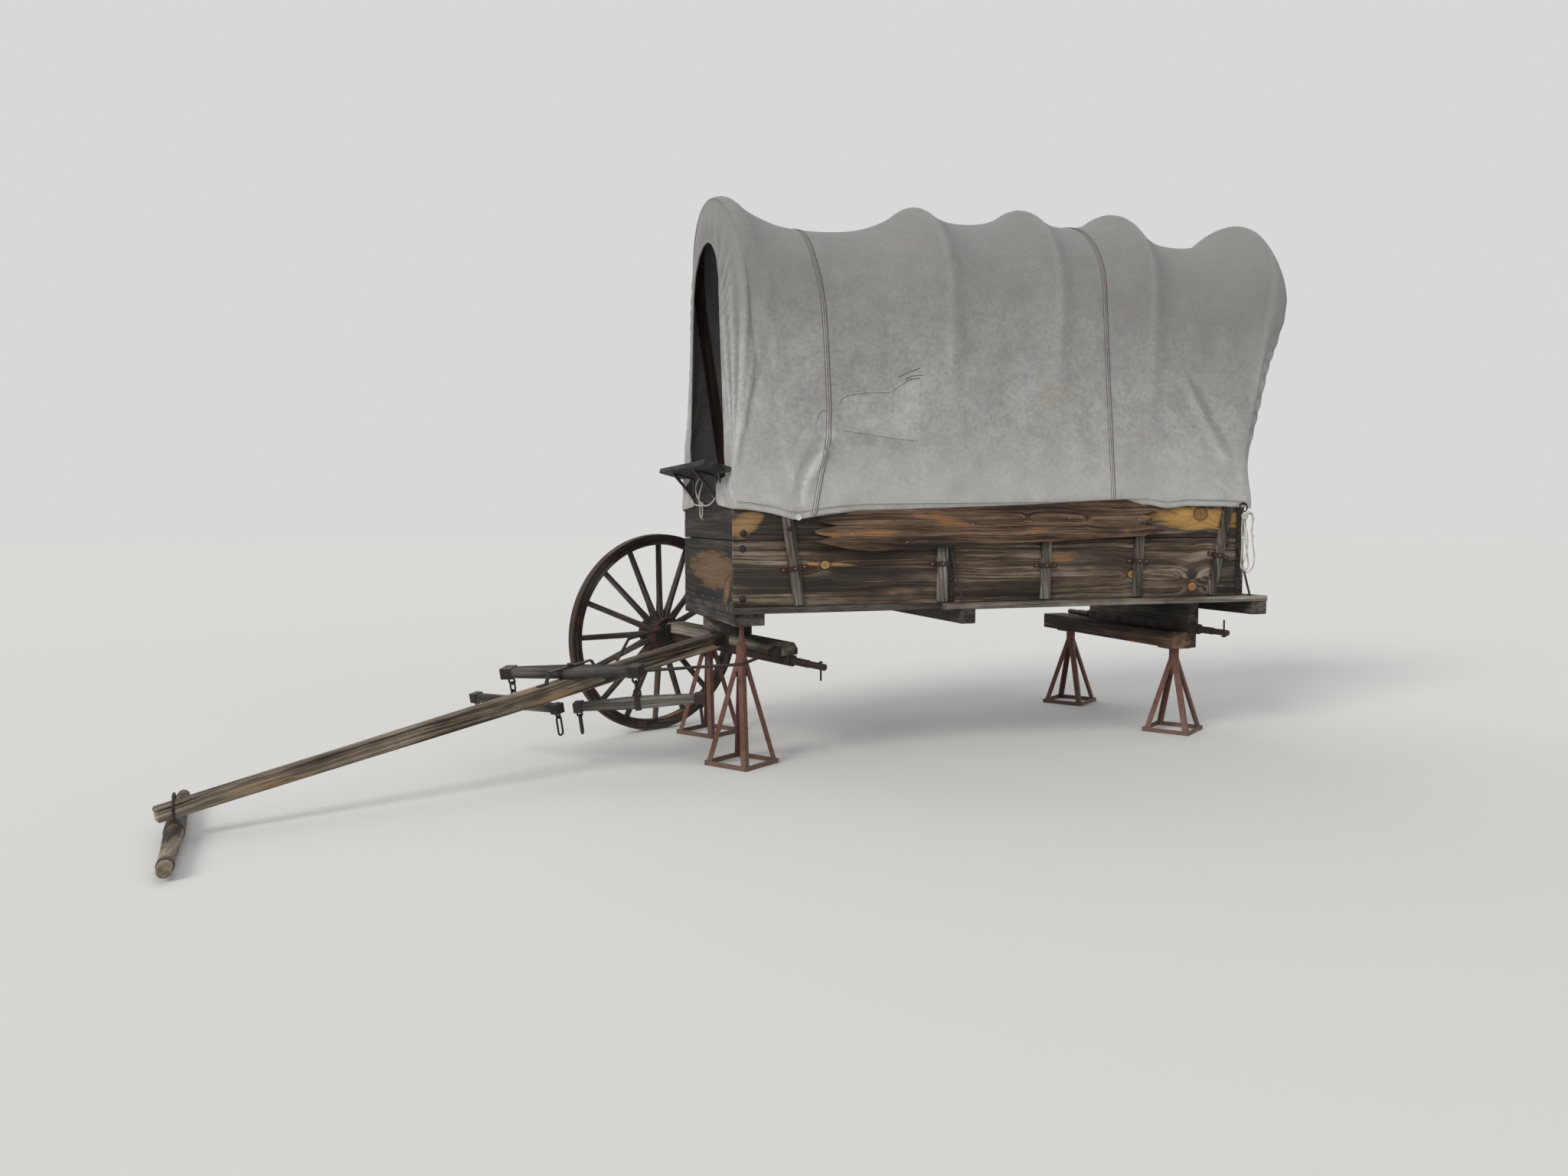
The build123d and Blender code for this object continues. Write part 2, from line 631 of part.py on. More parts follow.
# Corners of the cloth turned in across the box's front, drawn together by a rope
FLAP_EDGE = 217.0
FLAP_FAR_EDGE = -262.0

with BuildPart() as cover_flaps:
    with BuildSketch(Plane.YZ.offset(FLAP_X)):
        with BuildLine():
            Polyline((CLOTH_IN - 4.2, 1310), (373, 1321), (252, 1334), (226, 1350), (FLAP_EDGE, 1385),
                     (FLAP_EDGE + 6, 1440), (250, 1455), (400, 1470), (CLOTH_IN - 4.2, 1472), close=True)
        make_face()
        with Locations((321, 1448)):
            Circle(6, mode=Mode.SUBTRACT)
        with BuildLine():
            Polyline((-CLOTH_IN + 4.2, 1465), (-361, 1390), (FLAP_FAR_EDGE, 1349), (FLAP_FAR_EDGE, 1326),
                     (-502, 1373), (-CLOTH_IN + 4.2, 1400), close=True)
        make_face()
    extrude(amount=CLOTH)
cover_flaps.part.label = "cover_flaps"

# Sign: a blank split board on the upper plank, nailed over the bows

with BuildPart() as sign_board:
    with BuildSketch(Plane.XZ.offset(-CLOTH_OUT)):
        with BuildLine():
            Polyline((behind(414), 1251), (behind(560), 1272), (behind(640), 1298),
                     (behind(1633), 1334), (behind(2259), 1367), (behind(2488), 1306),
                     (behind(2380), 1285), (behind(2430), 1262), (behind(2350), 1230),
                     (behind(2520), 1197), (behind(2390), 1163), (behind(1520), 1121),
                     (behind(723), 1091), (behind(597), 1103), (behind(414), 1143),
                     (behind(520), 1163), (behind(430), 1180), (behind(416), 1197),
                     (behind(540), 1222), (behind(450), 1240), close=True)
        make_face()
    extrude(amount=-SIGN)
sign_board.part.label = "sign_board"


# Footboard on iron brackets in front of the box, its front edge raised

FOOT_EDGE = Vector(X_FRONT + 16, 0, BOX_TOP + 86)
FOOT_WAY = Vector(cos(radians(FOOTBOARD_TILT)), 0, sin(radians(FOOTBOARD_TILT)))
foot_plane = Plane(origin=FOOT_EDGE, x_dir=FOOT_WAY, z_dir=Vector(0, -1, 0))

with BuildPart() as footboard:
    with BuildSketch(foot_plane.offset(-SIDE)):
        with Locations((FOOTBOARD_WIDTH / 2, FOOTBOARD / 2)):
            Rectangle(FOOTBOARD_WIDTH, FOOTBOARD)
    extrude(amount=BOX_WIDTH)
    chamfer(footboard.edges().filter_by(Axis.Y), 3)
footboard.part.label = "footboard"

BRACKET_Y = [205.0, -290.0]

with BuildPart() as footboard_brackets:
    tip = FOOT_EDGE + FOOT_WAY * 110
    for bracket_y in BRACKET_Y:
        with BuildSketch(Plane.XZ.offset(-bracket_y - 13)):
            with BuildLine():
                Polyline((X_FRONT, BOX_TOP - 62), (X_FRONT + BRACKET_BAR, BOX_TOP - 62),
                         (X_FRONT + BRACKET_BAR, BOX_TOP - 30), (tip.X, tip.Z - 9), (tip.X, tip.Z),
                         (FOOT_EDGE.X, FOOT_EDGE.Z), (X_FRONT, FOOT_EDGE.Z - 4), close=True)
            make_face()
            with BuildLine():
                Polyline((X_FRONT + BRACKET_BAR, BOX_TOP - 19), (tip.X - 22, tip.Z - 14),
                         (FOOT_EDGE.X, FOOT_EDGE.Z - 7), (X_FRONT + BRACKET_BAR, FOOT_EDGE.Z - 9), close=True)
            make_face(mode=Mode.SUBTRACT)
        extrude(amount=26)
footboard_brackets.part.label = "footboard_brackets"


# Ropes: the flaps' tie with its bow, and a hank hung from a ring at the rear corner

ROPE_X = FLAP_X + CLOTH + ROPE + 0.5
KNOT = (-40.0, 1334.0)


def bend_radius(before, corner, after):
    # Largest arc that leaves a little of the shorter run on each side
    first = corner - before
    second = after - corner
    turn = radians(first.get_angle(second))
    return 0.45 * min(first.length, second.length) / tan(turn / 2)


def rope_tube(points):
    radii = [bend_radius(*points[i:i + 3]) for i in range(len(points) - 2)]
    with BuildPart() as tube:
        with BuildLine():
            route = FilletPolyline(*points, radius=radii)
        with BuildSketch(Plane(origin=route @ 0, z_dir=route % 0)):
            Circle(ROPE)
        sweep()
    print("rope radii", [round(radius, 1) for radius in radii], "length", round(route.length, 1),
          "volume ratio", round(tube.part.volume / (3.14159 * ROPE ** 2 * route.length), 4))
    return tube.part


KNOT_RADIUS = 17.0

with BuildPart() as tie_bow:
    with BuildSketch(Plane.YZ.offset(ROPE_X - ROPE)):
        with Locations(KNOT):
            Circle(KNOT_RADIUS)
        with BuildLine():
            Polyline((KNOT[0] - 17, KNOT[1] - 2), (-128, 1362), (-196, 1425), (-192, 1450), (-100, 1474),
                     (-40, 1474), (-32, 1462), (-56, 1446), (-104, 1425), (-98, 1380), (KNOT[0] + 4, KNOT[1] + 16),
                     close=True)
        make_face()
        with BuildLine():
            Polyline((KNOT[0] - 14, KNOT[1] - 4), (-84, 1312), (-78, 1292), (-60, 1290), (-46, 1302),
                     (KNOT[0] + 2, KNOT[1] - 10), close=True)
        make_face()
    extrude(amount=2 * ROPE)
tie_bow.part.label = "tie_bow"

with BuildPart() as tie_rope:
    add(rope_tube([Vector(ROPE_X, FLAP_EDGE + 9, 1364), Vector(ROPE_X, 180, 1341), Vector(ROPE_X, 115, 1324),
                   Vector(ROPE_X, 40, 1317), Vector(ROPE_X, KNOT[0] + 10, 1328)]))
    add(rope_tube([Vector(ROPE_X, KNOT[0] - 10, 1334), Vector(ROPE_X, -97, 1325), Vector(ROPE_X, -152, 1325),
                   Vector(ROPE_X, -209, 1334), Vector(ROPE_X, FLAP_FAR_EDGE - 4, 1345)]))
    add(tie_bow.part, mode=Mode.SUBTRACT)
tie_rope.part.label = "tie_rope"

RING_RADIUS = 26.0
RING_WIRE = 4.0
RING_Y = SIDE + 51
RING_MIDDLE = Vector(RING_BOLT[0], RING_Y, RING_BOLT[1] + RING_BOLT_RADIUS + RING_WIRE - 0.5 - RING_RADIUS)

with BuildPart() as hank_iron:
    with BuildSketch(Plane.XZ.offset(-(SIDE + BRACE_PLATE))):
        with Locations(RING_BOLT):
            Circle(RING_BOLT_RADIUS)
    extrude(amount=-(RING_Y + 8 - SIDE - BRACE_PLATE))
    with BuildSketch(Plane.XZ.offset(-(RING_Y + 8))):
        with Locations(RING_BOLT):
            Circle(9)
    extrude(amount=-5)
    with BuildSketch(Plane(origin=RING_MIDDLE + Vector(RING_RADIUS, 0, 0), z_dir=(0, 0, 1))):
        Circle(RING_WIRE)
    revolve(axis=Axis(RING_MIDDLE, (0, 1, 0)))
hank_iron.part.label = "hank_iron"

HANK = 22.0

with BuildPart() as rope_hank:
    with BuildSketch(Plane.XZ.offset(-(RING_Y - HANK / 2))):
        with BuildLine():
            top = RING_MIDDLE.Z - RING_RADIUS + 9
            x = RING_BOLT[0]
            Polyline((x + 2, top), (x - 18, top), (x - 32, 1278), (x - 40, 1262), (x - 72, 1250), (x - 82, 1160),
                     (x - 108, 1054))
            ThreePointArc((x - 108, 1054), (x - 62, 942), (x - 18, 1000))
            Polyline((x - 18, 1000), (x - 10, 1240), (x - 4, 1285), (x + 2, top))
        make_face()
    extrude(amount=-HANK)
    fillet(rope_hank.edges().group_by(Axis.Y)[0], 7)
    fillet(rope_hank.edges().group_by(Axis.Y)[-1], 7)
    add(hank_iron.part, mode=Mode.SUBTRACT)
rope_hank.part.label = "rope_hank"


# Front gear, turned to the wagon's left as it stands, its empty end hanging a little lower

FORWARD = Vector(cos(radians(STEER)), sin(radians(STEER)), 0)
LEVEL_LEFT = Vector(-sin(radians(STEER)), cos(radians(STEER)), 0)
ALONG = LEVEL_LEFT * cos(radians(TILT)) + Vector(0, 0, -sin(radians(TILT)))
GEAR_UP = FORWARD.cross(ALONG)

WHEEL_AT = COLLAR_AT + 4 + HUB_LENGTH / 2
RIM_AT = WHEEL_AT + (TYRE_RADIUS - HUB_RADIUS) * tan(radians(DISH))
GEAR_Z = TYRE_RADIUS * cos(radians(TILT)) + (TYRE_WIDTH / 2 - RIM_AT) * sin(radians(TILT))
GEAR = Vector(KINGPIN_X, 0, GEAR_Z)


def gear_point(ahead, left, up):
    return GEAR + FORWARD * ahead + ALONG * left + GEAR_UP * up


gear_side = Plane(origin=GEAR, x_dir=FORWARD, z_dir=-ALONG)

with BuildPart() as axle_front:
    add(axle_iron(GEAR, ALONG, FORWARD))
    add(linchpin_iron(GEAR, ALONG, -1))
    add(linchpin_iron(GEAR, -ALONG, -1))
    with BuildSketch(Plane.XY.offset(FLOOR_BOTTOM - 8)):
        with Locations((KINGPIN_X, 0)):
            Circle(KINGPIN)
    extrude(amount=GEAR_Z - FLOOR_BOTTOM + 8)
axle_front.part.label = "axle_front"

with BuildPart() as axle_front_timber:
    with BuildSketch(gear_side.offset(-AXLE_TIMBER_LENGTH / 2)):
        with Locations((0, AXLE_BAR / 2 + AXLE_TIMBER_DEPTH / 2)):
            Rectangle(AXLE_TIMBER_WIDTH, AXLE_TIMBER_DEPTH)
    extrude(amount=AXLE_TIMBER_LENGTH)
    ends = axle_front_timber.faces().sort_by(Axis(GEAR, ALONG))
    chamfer(ends[0].edges().sort_by(Axis.Z)[-1], 30)
    chamfer(axle_front_timber.faces().sort_by(Axis(GEAR, ALONG))[-1].edges().sort_by(Axis.Z)[-1], 30)
    with BuildSketch(Plane.XY.offset(GEAR_Z)):
        with Locations((KINGPIN_X, 0)):
            Circle(KINGPIN)
    extrude(amount=200, mode=Mode.SUBTRACT)
axle_front_timber.part.label = "axle_front_timber"

TURN_TOP = FLOOR_BOTTOM - FRONT_TIMBER_DEPTH - 1

with BuildPart() as turning_block:
    with BuildSketch(Plane(origin=(KINGPIN_X, 0, TURN_TOP), x_dir=FORWARD, z_dir=(0, 0, 1))):
        Rectangle(AXLE_TIMBER_WIDTH, 300)
        Circle(KINGPIN, mode=Mode.SUBTRACT)
    extrude(amount=-120)
    with BuildSketch(Plane(origin=gear_point(0, 0, AXLE_BAR / 2 + AXLE_TIMBER_DEPTH), x_dir=FORWARD, z_dir=GEAR_UP)):
        Rectangle(600, 600)
    extrude(amount=-200, mode=Mode.SUBTRACT)
turning_block.part.label = "turning_block"

# Two clevises on the axle timber carry the tongue's root and the eyes of its braces
HINGE = gear_point(HINGE_AHEAD, 0, HINGE_UP)
TIMBER_FACE = AXLE_TIMBER_WIDTH / 2
hinge_side = Plane(origin=HINGE, x_dir=FORWARD, z_dir=-ALONG)
CHEEK = 8.0
CHEEK_AT = TONGUE_ROOT / 2 + 5

with BuildPart() as tongue_irons:
    with BuildSketch(Plane(origin=gear_point(TIMBER_FACE, 0, HINGE_UP + 15), x_dir=ALONG, z_dir=FORWARD)):
        Rectangle(2 * CHEEK_AT + 2 * CHEEK + 60, 56)
    extrude(amount=5)
    for left in (CHEEK_AT + CHEEK, -CHEEK_AT):
        with BuildSketch(hinge_side.offset(-left)):
            with BuildLine():
                Polyline((TIMBER_FACE - HINGE_AHEAD, -13), (0, -22), (0, 22), (TIMBER_FACE - HINGE_AHEAD, 43),
                         close=True)
            make_face()
            Circle(22)
            Circle(HINGE_PIN, mode=Mode.SUBTRACT)
        extrude(amount=CHEEK)
    for side in (1, -1):
        for left in (side * BRACE_EYE_AT + 17 + 6, side * BRACE_EYE_AT - 17):
            with BuildSketch(hinge_side.offset(-left)):
                with BuildLine():
                    Polyline((TIMBER_FACE - HINGE_AHEAD, -13), (0, -16), (0, 16),
                             (TIMBER_FACE - HINGE_AHEAD, 36), close=True)
                make_face()
                Circle(16)
                Circle(HINGE_PIN, mode=Mode.SUBTRACT)
            extrude(amount=6)
        with BuildSketch(Plane(origin=gear_point(TIMBER_FACE, side * BRACE_EYE_AT, HINGE_UP + 12),
                               x_dir=ALONG, z_dir=FORWARD)):
            Rectangle(60, 44)
        extrude(amount=4)
    for middle, half in ((0, CHEEK_AT + CHEEK + 8), (BRACE_EYE_AT, 30), (-BRACE_EYE_AT, 30)):
        with BuildSketch(hinge_side.offset(-middle - half)):
            Circle(HINGE_PIN)
        extrude(amount=2 * half)
tongue_irons.part.label = "tongue_irons"


# Wheel on the far front spindle, dished outward

OUT = -ALONG
HUB_MIDDLE = GEAR + OUT * WHEEL_AT
hub_profile = Plane(origin=HUB_MIDDLE, x_dir=OUT, z_dir=FORWARD.cross(OUT).cross(OUT))
HUB_AXIS = Axis(HUB_MIDDLE, OUT)
HUB_IN = -HUB_LENGTH / 2
HUB_OUT = HUB_LENGTH / 2
BOX_SEAT = 46.0
RIM_MIDDLE = GEAR + OUT * RIM_AT
FELLOE_OUT = TYRE_RADIUS - TYRE
FELLOE_IN = FELLOE_OUT - FELLOE

with BuildPart() as wheel_hub:
    with BuildSketch(hub_profile):
        with BuildLine():
            Polyline((HUB_IN, JOURNAL + RUN_CLEAR), (HUB_IN, HUB_RADIUS - 4), (HUB_IN + 40, HUB_RADIUS - 4))
            Line((HUB_IN + 40, HUB_RADIUS - 4), (HUB_IN + 52, HUB_RADIUS))
            Line((HUB_IN + 52, HUB_RADIUS), (32, HUB_RADIUS))
            ThreePointArc((32, HUB_RADIUS), (52, HUB_RADIUS - 14), (HUB_OUT, HUB_END_RADIUS))
            Polyline((HUB_OUT, HUB_END_RADIUS), (HUB_OUT, TIP_JOURNAL + RUN_CLEAR),
                     (HUB_OUT - BOX_SEAT, TIP_JOURNAL + RUN_CLEAR), (HUB_OUT - BOX_SEAT, JOURNAL + 3),
                     (HUB_IN + BOX_SEAT, JOURNAL + 3), (HUB_IN + BOX_SEAT, JOURNAL + RUN_CLEAR),
                     (HUB_IN, JOURNAL + RUN_CLEAR))
        make_face()
    revolve(axis=HUB_AXIS)
wheel_hub.part.label = "wheel_hub"

with BuildPart() as wheel_irons:
    with BuildSketch(Plane(origin=HUB_MIDDLE + OUT * HUB_IN, z_dir=OUT)):
        Circle(HUB_RADIUS + 2)
        Circle(HUB_RADIUS - 4, mode=Mode.SUBTRACT)
    extrude(amount=38)
    with BuildSketch(Plane(origin=HUB_MIDDLE + OUT * (HUB_OUT - 24), z_dir=OUT)):
        Circle(HUB_END_RADIUS + 8)
        Circle(HUB_END_RADIUS - 12, mode=Mode.SUBTRACT)
    extrude(amount=28)
    add(wheel_hub.part, mode=Mode.SUBTRACT)
    for face_at in (TYRE_WIDTH / 2 - 2, -TYRE_WIDTH / 2 - 1):
        with BuildSketch(Plane(origin=RIM_MIDDLE + OUT * face_at, x_dir=FORWARD, z_dir=OUT)):
            with PolarLocations(FELLOE_IN + FELLOE / 2, FELLOES, start_angle=11.25):
                Rectangle(FELLOE - 12, 60)
        extrude(amount=3)
wheel_irons.part.label = "wheel_irons"

SPOKE_TURN = 0.0


def spoke_wood():
    # One spoke along local X from the hub to the felloe, leaning outward along local Z
    lean = radians(DISH)
    run = Vector(cos(lean), 0, sin(lean))
    with BuildPart() as spoke:
        with BuildSketch(Plane(origin=run * (HUB_RADIUS - 4) / cos(lean), x_dir=(0, 1, 0), z_dir=run)):
            RectangleRounded(SPOKE_WIDTH, SPOKE_DEPTH, 9)
        with BuildSketch(Plane(origin=run * 200, x_dir=(0, 1, 0), z_dir=run)):
            RectangleRounded(SPOKE_WIDTH - 3, SPOKE_DEPTH - 8, 14)
        with BuildSketch(Plane(origin=run * (FELLOE_IN + 6) / cos(lean), x_dir=(0, 1, 0), z_dir=run)):
            RectangleRounded(SPOKE_WIDTH - 5, SPOKE_DEPTH - 14, 13)
        loft(ruled=True)
    return spoke.part


spoke = spoke_wood()

with BuildPart() as wheel_rim:
    with BuildSketch(Plane(origin=RIM_MIDDLE - OUT * (TYRE_WIDTH / 2 - 2), x_dir=FORWARD, z_dir=OUT)):
        Circle(FELLOE_OUT)
        Circle(FELLOE_IN, mode=Mode.SUBTRACT)
        with PolarLocations(FELLOE_IN, FELLOES, start_angle=11.25):
            Rectangle(8, 1.6, mode=Mode.SUBTRACT)
    extrude(amount=TYRE_WIDTH - 4)
wheel_rim.part.label = "wheel_rim"

with BuildPart() as wheel_spokes:
    for turn in range(SPOKES):
        way = radians(SPOKE_TURN + 360 / SPOKES * turn)
        reach = FORWARD * cos(way) + OUT.cross(FORWARD) * sin(way)
        add(spoke.moved(Location(Plane(origin=HUB_MIDDLE, x_dir=reach, z_dir=OUT))))
    add(wheel_hub.part, mode=Mode.SUBTRACT)
    add(wheel_irons.part, mode=Mode.SUBTRACT)
    add(wheel_rim.part, mode=Mode.SUBTRACT)
wheel_spokes.part.label = "wheel_spokes"

with BuildPart() as wheel_tyre:
    with BuildSketch(Plane(origin=RIM_MIDDLE - OUT * TYRE_WIDTH / 2, x_dir=FORWARD, z_dir=OUT)):
        Circle(TYRE_RADIUS)
        Circle(FELLOE_OUT, mode=Mode.SUBTRACT)
    extrude(amount=TYRE_WIDTH)
    chamfer(wheel_tyre.edges().filter_by(GeomType.CIRCLE).group_by(SortBy.RADIUS)[-1], 2)
wheel_tyre.part.label = "wheel_tyre"

# Tongue, sloping from its hinge to the neck yoke on the ground

POLE = FORWARD * cos(radians(TONGUE_SLOPE)) - GEAR_UP * sin(radians(TONGUE_SLOPE))
POLE_UP = GEAR_UP * cos(radians(TONGUE_SLOPE)) + FORWARD * sin(radians(TONGUE_SLOPE))


def pole_point(ahead, left, up):
    return HINGE + POLE * ahead + ALONG * left + POLE_UP * up


def pole_cut(ahead):
    return Plane(origin=pole_point(ahead, 0, 0), x_dir=ALONG, z_dir=POLE)


pole_side = Plane(origin=HINGE, x_dir=POLE, z_dir=-ALONG)
pole_top = Plane(origin=HINGE, x_dir=POLE, z_dir=POLE_UP)

with BuildPart() as tongue:
    with BuildSketch(pole_cut(0)):
        Rectangle(TONGUE_ROOT, TONGUE_ROOT)
    extrude(amount=TONGUE_STRAIGHT)
    with BuildSketch(pole_cut(TONGUE_STRAIGHT)):
        Rectangle(TONGUE_ROOT, TONGUE_ROOT)
    with BuildSketch(pole_cut(TONGUE_LENGTH)):
        Rectangle(TONGUE_TIP, TONGUE_TIP)
    loft(ruled=True)
    with BuildSketch(pole_side.offset(-TONGUE_ROOT / 2)):
        Circle(TONGUE_ROOT / 2)
    extrude(amount=TONGUE_ROOT)
    with BuildSketch(pole_side.offset(-TONGUE_ROOT)):
        Circle(HINGE_PIN + RUN_CLEAR)
    extrude(amount=2 * TONGUE_ROOT, mode=Mode.SUBTRACT)
    with BuildSketch(pole_top.offset(-TONGUE_ROOT)):
        with Locations((DOUBLETREE_AT, 0)):
            Circle(DOUBLETREE_PIN)
    extrude(amount=2 * TONGUE_ROOT, mode=Mode.SUBTRACT)
    chamfer(tongue.faces().sort_by(Axis(HINGE, POLE))[-1].edges(), 6)
tongue.part.label = "tongue"


def brace_rod(side):
    eye = pole_point(0, side * BRACE_EYE_AT, 0)
    start = pole_point(14, side * BRACE_EYE_AT, 0)
    elbow = pole_point(205, side * (BRACE_EYE_AT + 24), 0)
    near_pole = pole_point(600, side * (TONGUE_ROOT / 2 + BRACE_ROD + 12), 0)
    end = pole_point(680, side * (TONGUE_ROOT / 2 + BRACE_ROD), 0)
    with BuildPart() as rod:
        with BuildLine():
            route = FilletPolyline(start, elbow, near_pole, end, radius=40)
        with BuildSketch(Plane(origin=route @ 0, z_dir=route % 0)):
            Circle(BRACE_ROD)
        sweep()
        with BuildSketch(Plane(origin=eye + ALONG * 10, x_dir=POLE, z_dir=-ALONG)):
            Circle(20)
        extrude(amount=20)
        with BuildSketch(Plane(origin=eye + ALONG * 20, x_dir=POLE, z_dir=-ALONG)):
            Circle(HINGE_PIN + RUN_CLEAR)
        extrude(amount=40, mode=Mode.SUBTRACT)
        pad = pole_point(662, side * (TONGUE_ROOT / 2 + 6), 0)
        with BuildSketch(Plane(origin=pad - ALONG * 6, x_dir=POLE, z_dir=ALONG)):
            Rectangle(90, 34)
        extrude(amount=12)
        add(tongue.part, mode=Mode.SUBTRACT)
    return rod.part


with BuildPart() as tongue_braces:
    add(brace_rod(1))
    add(brace_rod(-1))
tongue_braces.part.label = "tongue_braces"

PLATE_TOP = TONGUE_ROOT / 2 + WEAR_PLATE
BOARD_BOTTOM = PLATE_TOP + 0.3
BOARD_TOP = BOARD_BOTTOM + DOUBLETREE_DEPTH
STRAP_BOTTOM = BOARD_TOP + 2

with BuildPart() as hammer_strap:
    with BuildSketch(pole_top.offset(TONGUE_ROOT / 2)):
        with Locations((DOUBLETREE_AT, 0)):
            Circle(38)
            Circle(DOUBLETREE_PIN, mode=Mode.SUBTRACT)
    extrude(amount=WEAR_PLATE)
    with BuildSketch(pole_side.offset(-13)):
        with BuildLine():
            Polyline((DOUBLETREE_AT - 190, TONGUE_ROOT / 2), (DOUBLETREE_AT - 190, TONGUE_ROOT / 2 + 6),
                     (DOUBLETREE_AT - 146, TONGUE_ROOT / 2 + 6), (DOUBLETREE_AT - 120, STRAP_BOTTOM + 6),
                     (DOUBLETREE_AT + 120, STRAP_BOTTOM + 6), (DOUBLETREE_AT + 146, TONGUE_ROOT / 2 + 6),
                     (DOUBLETREE_AT + 190, TONGUE_ROOT / 2 + 6), (DOUBLETREE_AT + 190, TONGUE_ROOT / 2),
                     (DOUBLETREE_AT + 142, TONGUE_ROOT / 2), (DOUBLETREE_AT + 116, STRAP_BOTTOM),
                     (DOUBLETREE_AT - 116, STRAP_BOTTOM), (DOUBLETREE_AT - 142, TONGUE_ROOT / 2), close=True)
        make_face()
    extrude(amount=26)
    with BuildSketch(pole_top.offset(STRAP_BOTTOM - 20)):
        with Locations((DOUBLETREE_AT, 0)):
            Circle(DOUBLETREE_PIN)
    extrude(amount=40, mode=Mode.SUBTRACT)
    with BuildSketch(pole_top.offset(-TONGUE_ROOT / 2 - 7)):
        with Locations((DOUBLETREE_AT, 0)):
            Circle(DOUBLETREE_PIN)
    extrude(amount=STRAP_BOTTOM + 6 + TONGUE_ROOT / 2 + 7)
    with BuildSketch(pole_top.offset(STRAP_BOTTOM + 6)):
        with Locations((DOUBLETREE_AT, 0)):
            RegularPolygon(17, 6)
    extrude(amount=12)
hammer_strap.part.label = "hammer_strap"


# Doubletree on the tongue, and a singletree under each of its ends

SWING = radians(DOUBLETREE_SWING)
TREE = ALONG * cos(SWING) - POLE * sin(SWING)
TREE_ACROSS = POLE_UP.cross(TREE)
DOUBLETREE = pole_point(DOUBLETREE_AT, 0, 0)
tree_top = Plane(origin=DOUBLETREE, x_dir=TREE, z_dir=POLE_UP)

with BuildPart() as doubletree:
    with BuildSketch(tree_top.offset(BOARD_BOTTOM)):
        with BuildLine():
            half = DOUBLETREE_LENGTH / 2
            Polyline((-half, -DOUBLETREE_END / 2), (-half, DOUBLETREE_END / 2), (-half + 70, DOUBLETREE_END / 2),
                     (-90, DOUBLETREE_WIDTH / 2), (90, DOUBLETREE_WIDTH / 2), (half - 70, DOUBLETREE_END / 2),
                     (half, DOUBLETREE_END / 2), (half, -DOUBLETREE_END / 2), (half - 70, -DOUBLETREE_END / 2),
                     (90, -DOUBLETREE_WIDTH / 2), (-90, -DOUBLETREE_WIDTH / 2),
                     (-half + 70, -DOUBLETREE_END / 2), close=True)
        make_face()
        Circle(DOUBLETREE_PIN + RUN_CLEAR, mode=Mode.SUBTRACT)
    extrude(amount=DOUBLETREE_DEPTH)
doubletree.part.label = "doubletree"

EYE = 16.0
EYE_WIRE = 5.0
CAP = 4.0
CAP_BOTTOM = BOARD_BOTTOM - CAP
EYE_Z = CAP_BOTTOM - EYE - EYE_WIRE + 2
LINK_WIRE = 4.5
LINK_HALF = 14.0
LINK_TOP = EYE_Z - EYE + EYE_WIRE + 1 + LINK_WIRE
LINK_DROP = 50.0
LOW_EYE_Z = LINK_TOP - LINK_DROP + LINK_WIRE + EYE_WIRE - 1 - EYE
SINGLETREE_TOP = LOW_EYE_Z - EYE - EYE_WIRE + 2 - CAP

with BuildPart() as doubletree_irons:
    for side in (1, -1):
        end = DOUBLETREE + TREE * (side * (DOUBLETREE_LENGTH / 2))
        with BuildSketch(Plane(origin=end + TREE * (side * CAP), x_dir=TREE_ACROSS, z_dir=TREE * (-side))):
            Rectangle(DOUBLETREE_END + 2 * CAP, 2 * (BOARD_TOP + CAP))
        extrude(amount=62)
    with BuildSketch(tree_top.offset(CAP_BOTTOM - 400)):
        Rectangle(DOUBLETREE_LENGTH + 60, 200)
    extrude(amount=400, mode=Mode.SUBTRACT)
    add(doubletree.part, mode=Mode.SUBTRACT)
    for side in (1, -1):
        ring = DOUBLETREE + TREE * (side * HANG_AT) + POLE_UP * EYE_Z
        with BuildSketch(Plane(origin=ring + TREE * EYE, x_dir=TREE, z_dir=POLE_UP)):
            Circle(EYE_WIRE)
        revolve(axis=Axis(ring, TREE_ACROSS))
doubletree_irons.part.label = "doubletree_irons"


def singletree_frame(side, swing):
    hang = DOUBLETREE + TREE * (side * HANG_AT)
    bar = ALONG * cos(radians(swing)) - POLE * sin(radians(swing))
    return hang, bar, POLE_UP.cross(bar)


def singletree_wood(side, swing):
    hang, bar, across = singletree_frame(side, swing)
    half = SINGLETREE_LENGTH / 2
    middle = SINGLETREE_TOP - SINGLETREE_DEPTH / 2
    with BuildPart() as wood:
        with BuildSketch(Plane(origin=hang + across * (SINGLETREE_WIDTH / 2), x_dir=bar, z_dir=-across)):
            with BuildLine():
                Polyline((-half, middle - SINGLETREE_END / 2), (-half, middle + SINGLETREE_END / 2),
                         (-60, SINGLETREE_TOP), (60, SINGLETREE_TOP), (half, middle + SINGLETREE_END / 2),
                         (half, middle - SINGLETREE_END / 2), (60, SINGLETREE_TOP - SINGLETREE_DEPTH),
                         (-60, SINGLETREE_TOP - SINGLETREE_DEPTH), close=True)
            make_face()
        extrude(amount=SINGLETREE_WIDTH)
        chamfer(wood.edges().filter_by(lambda edge: edge.length > 200), 8)
    return wood.part


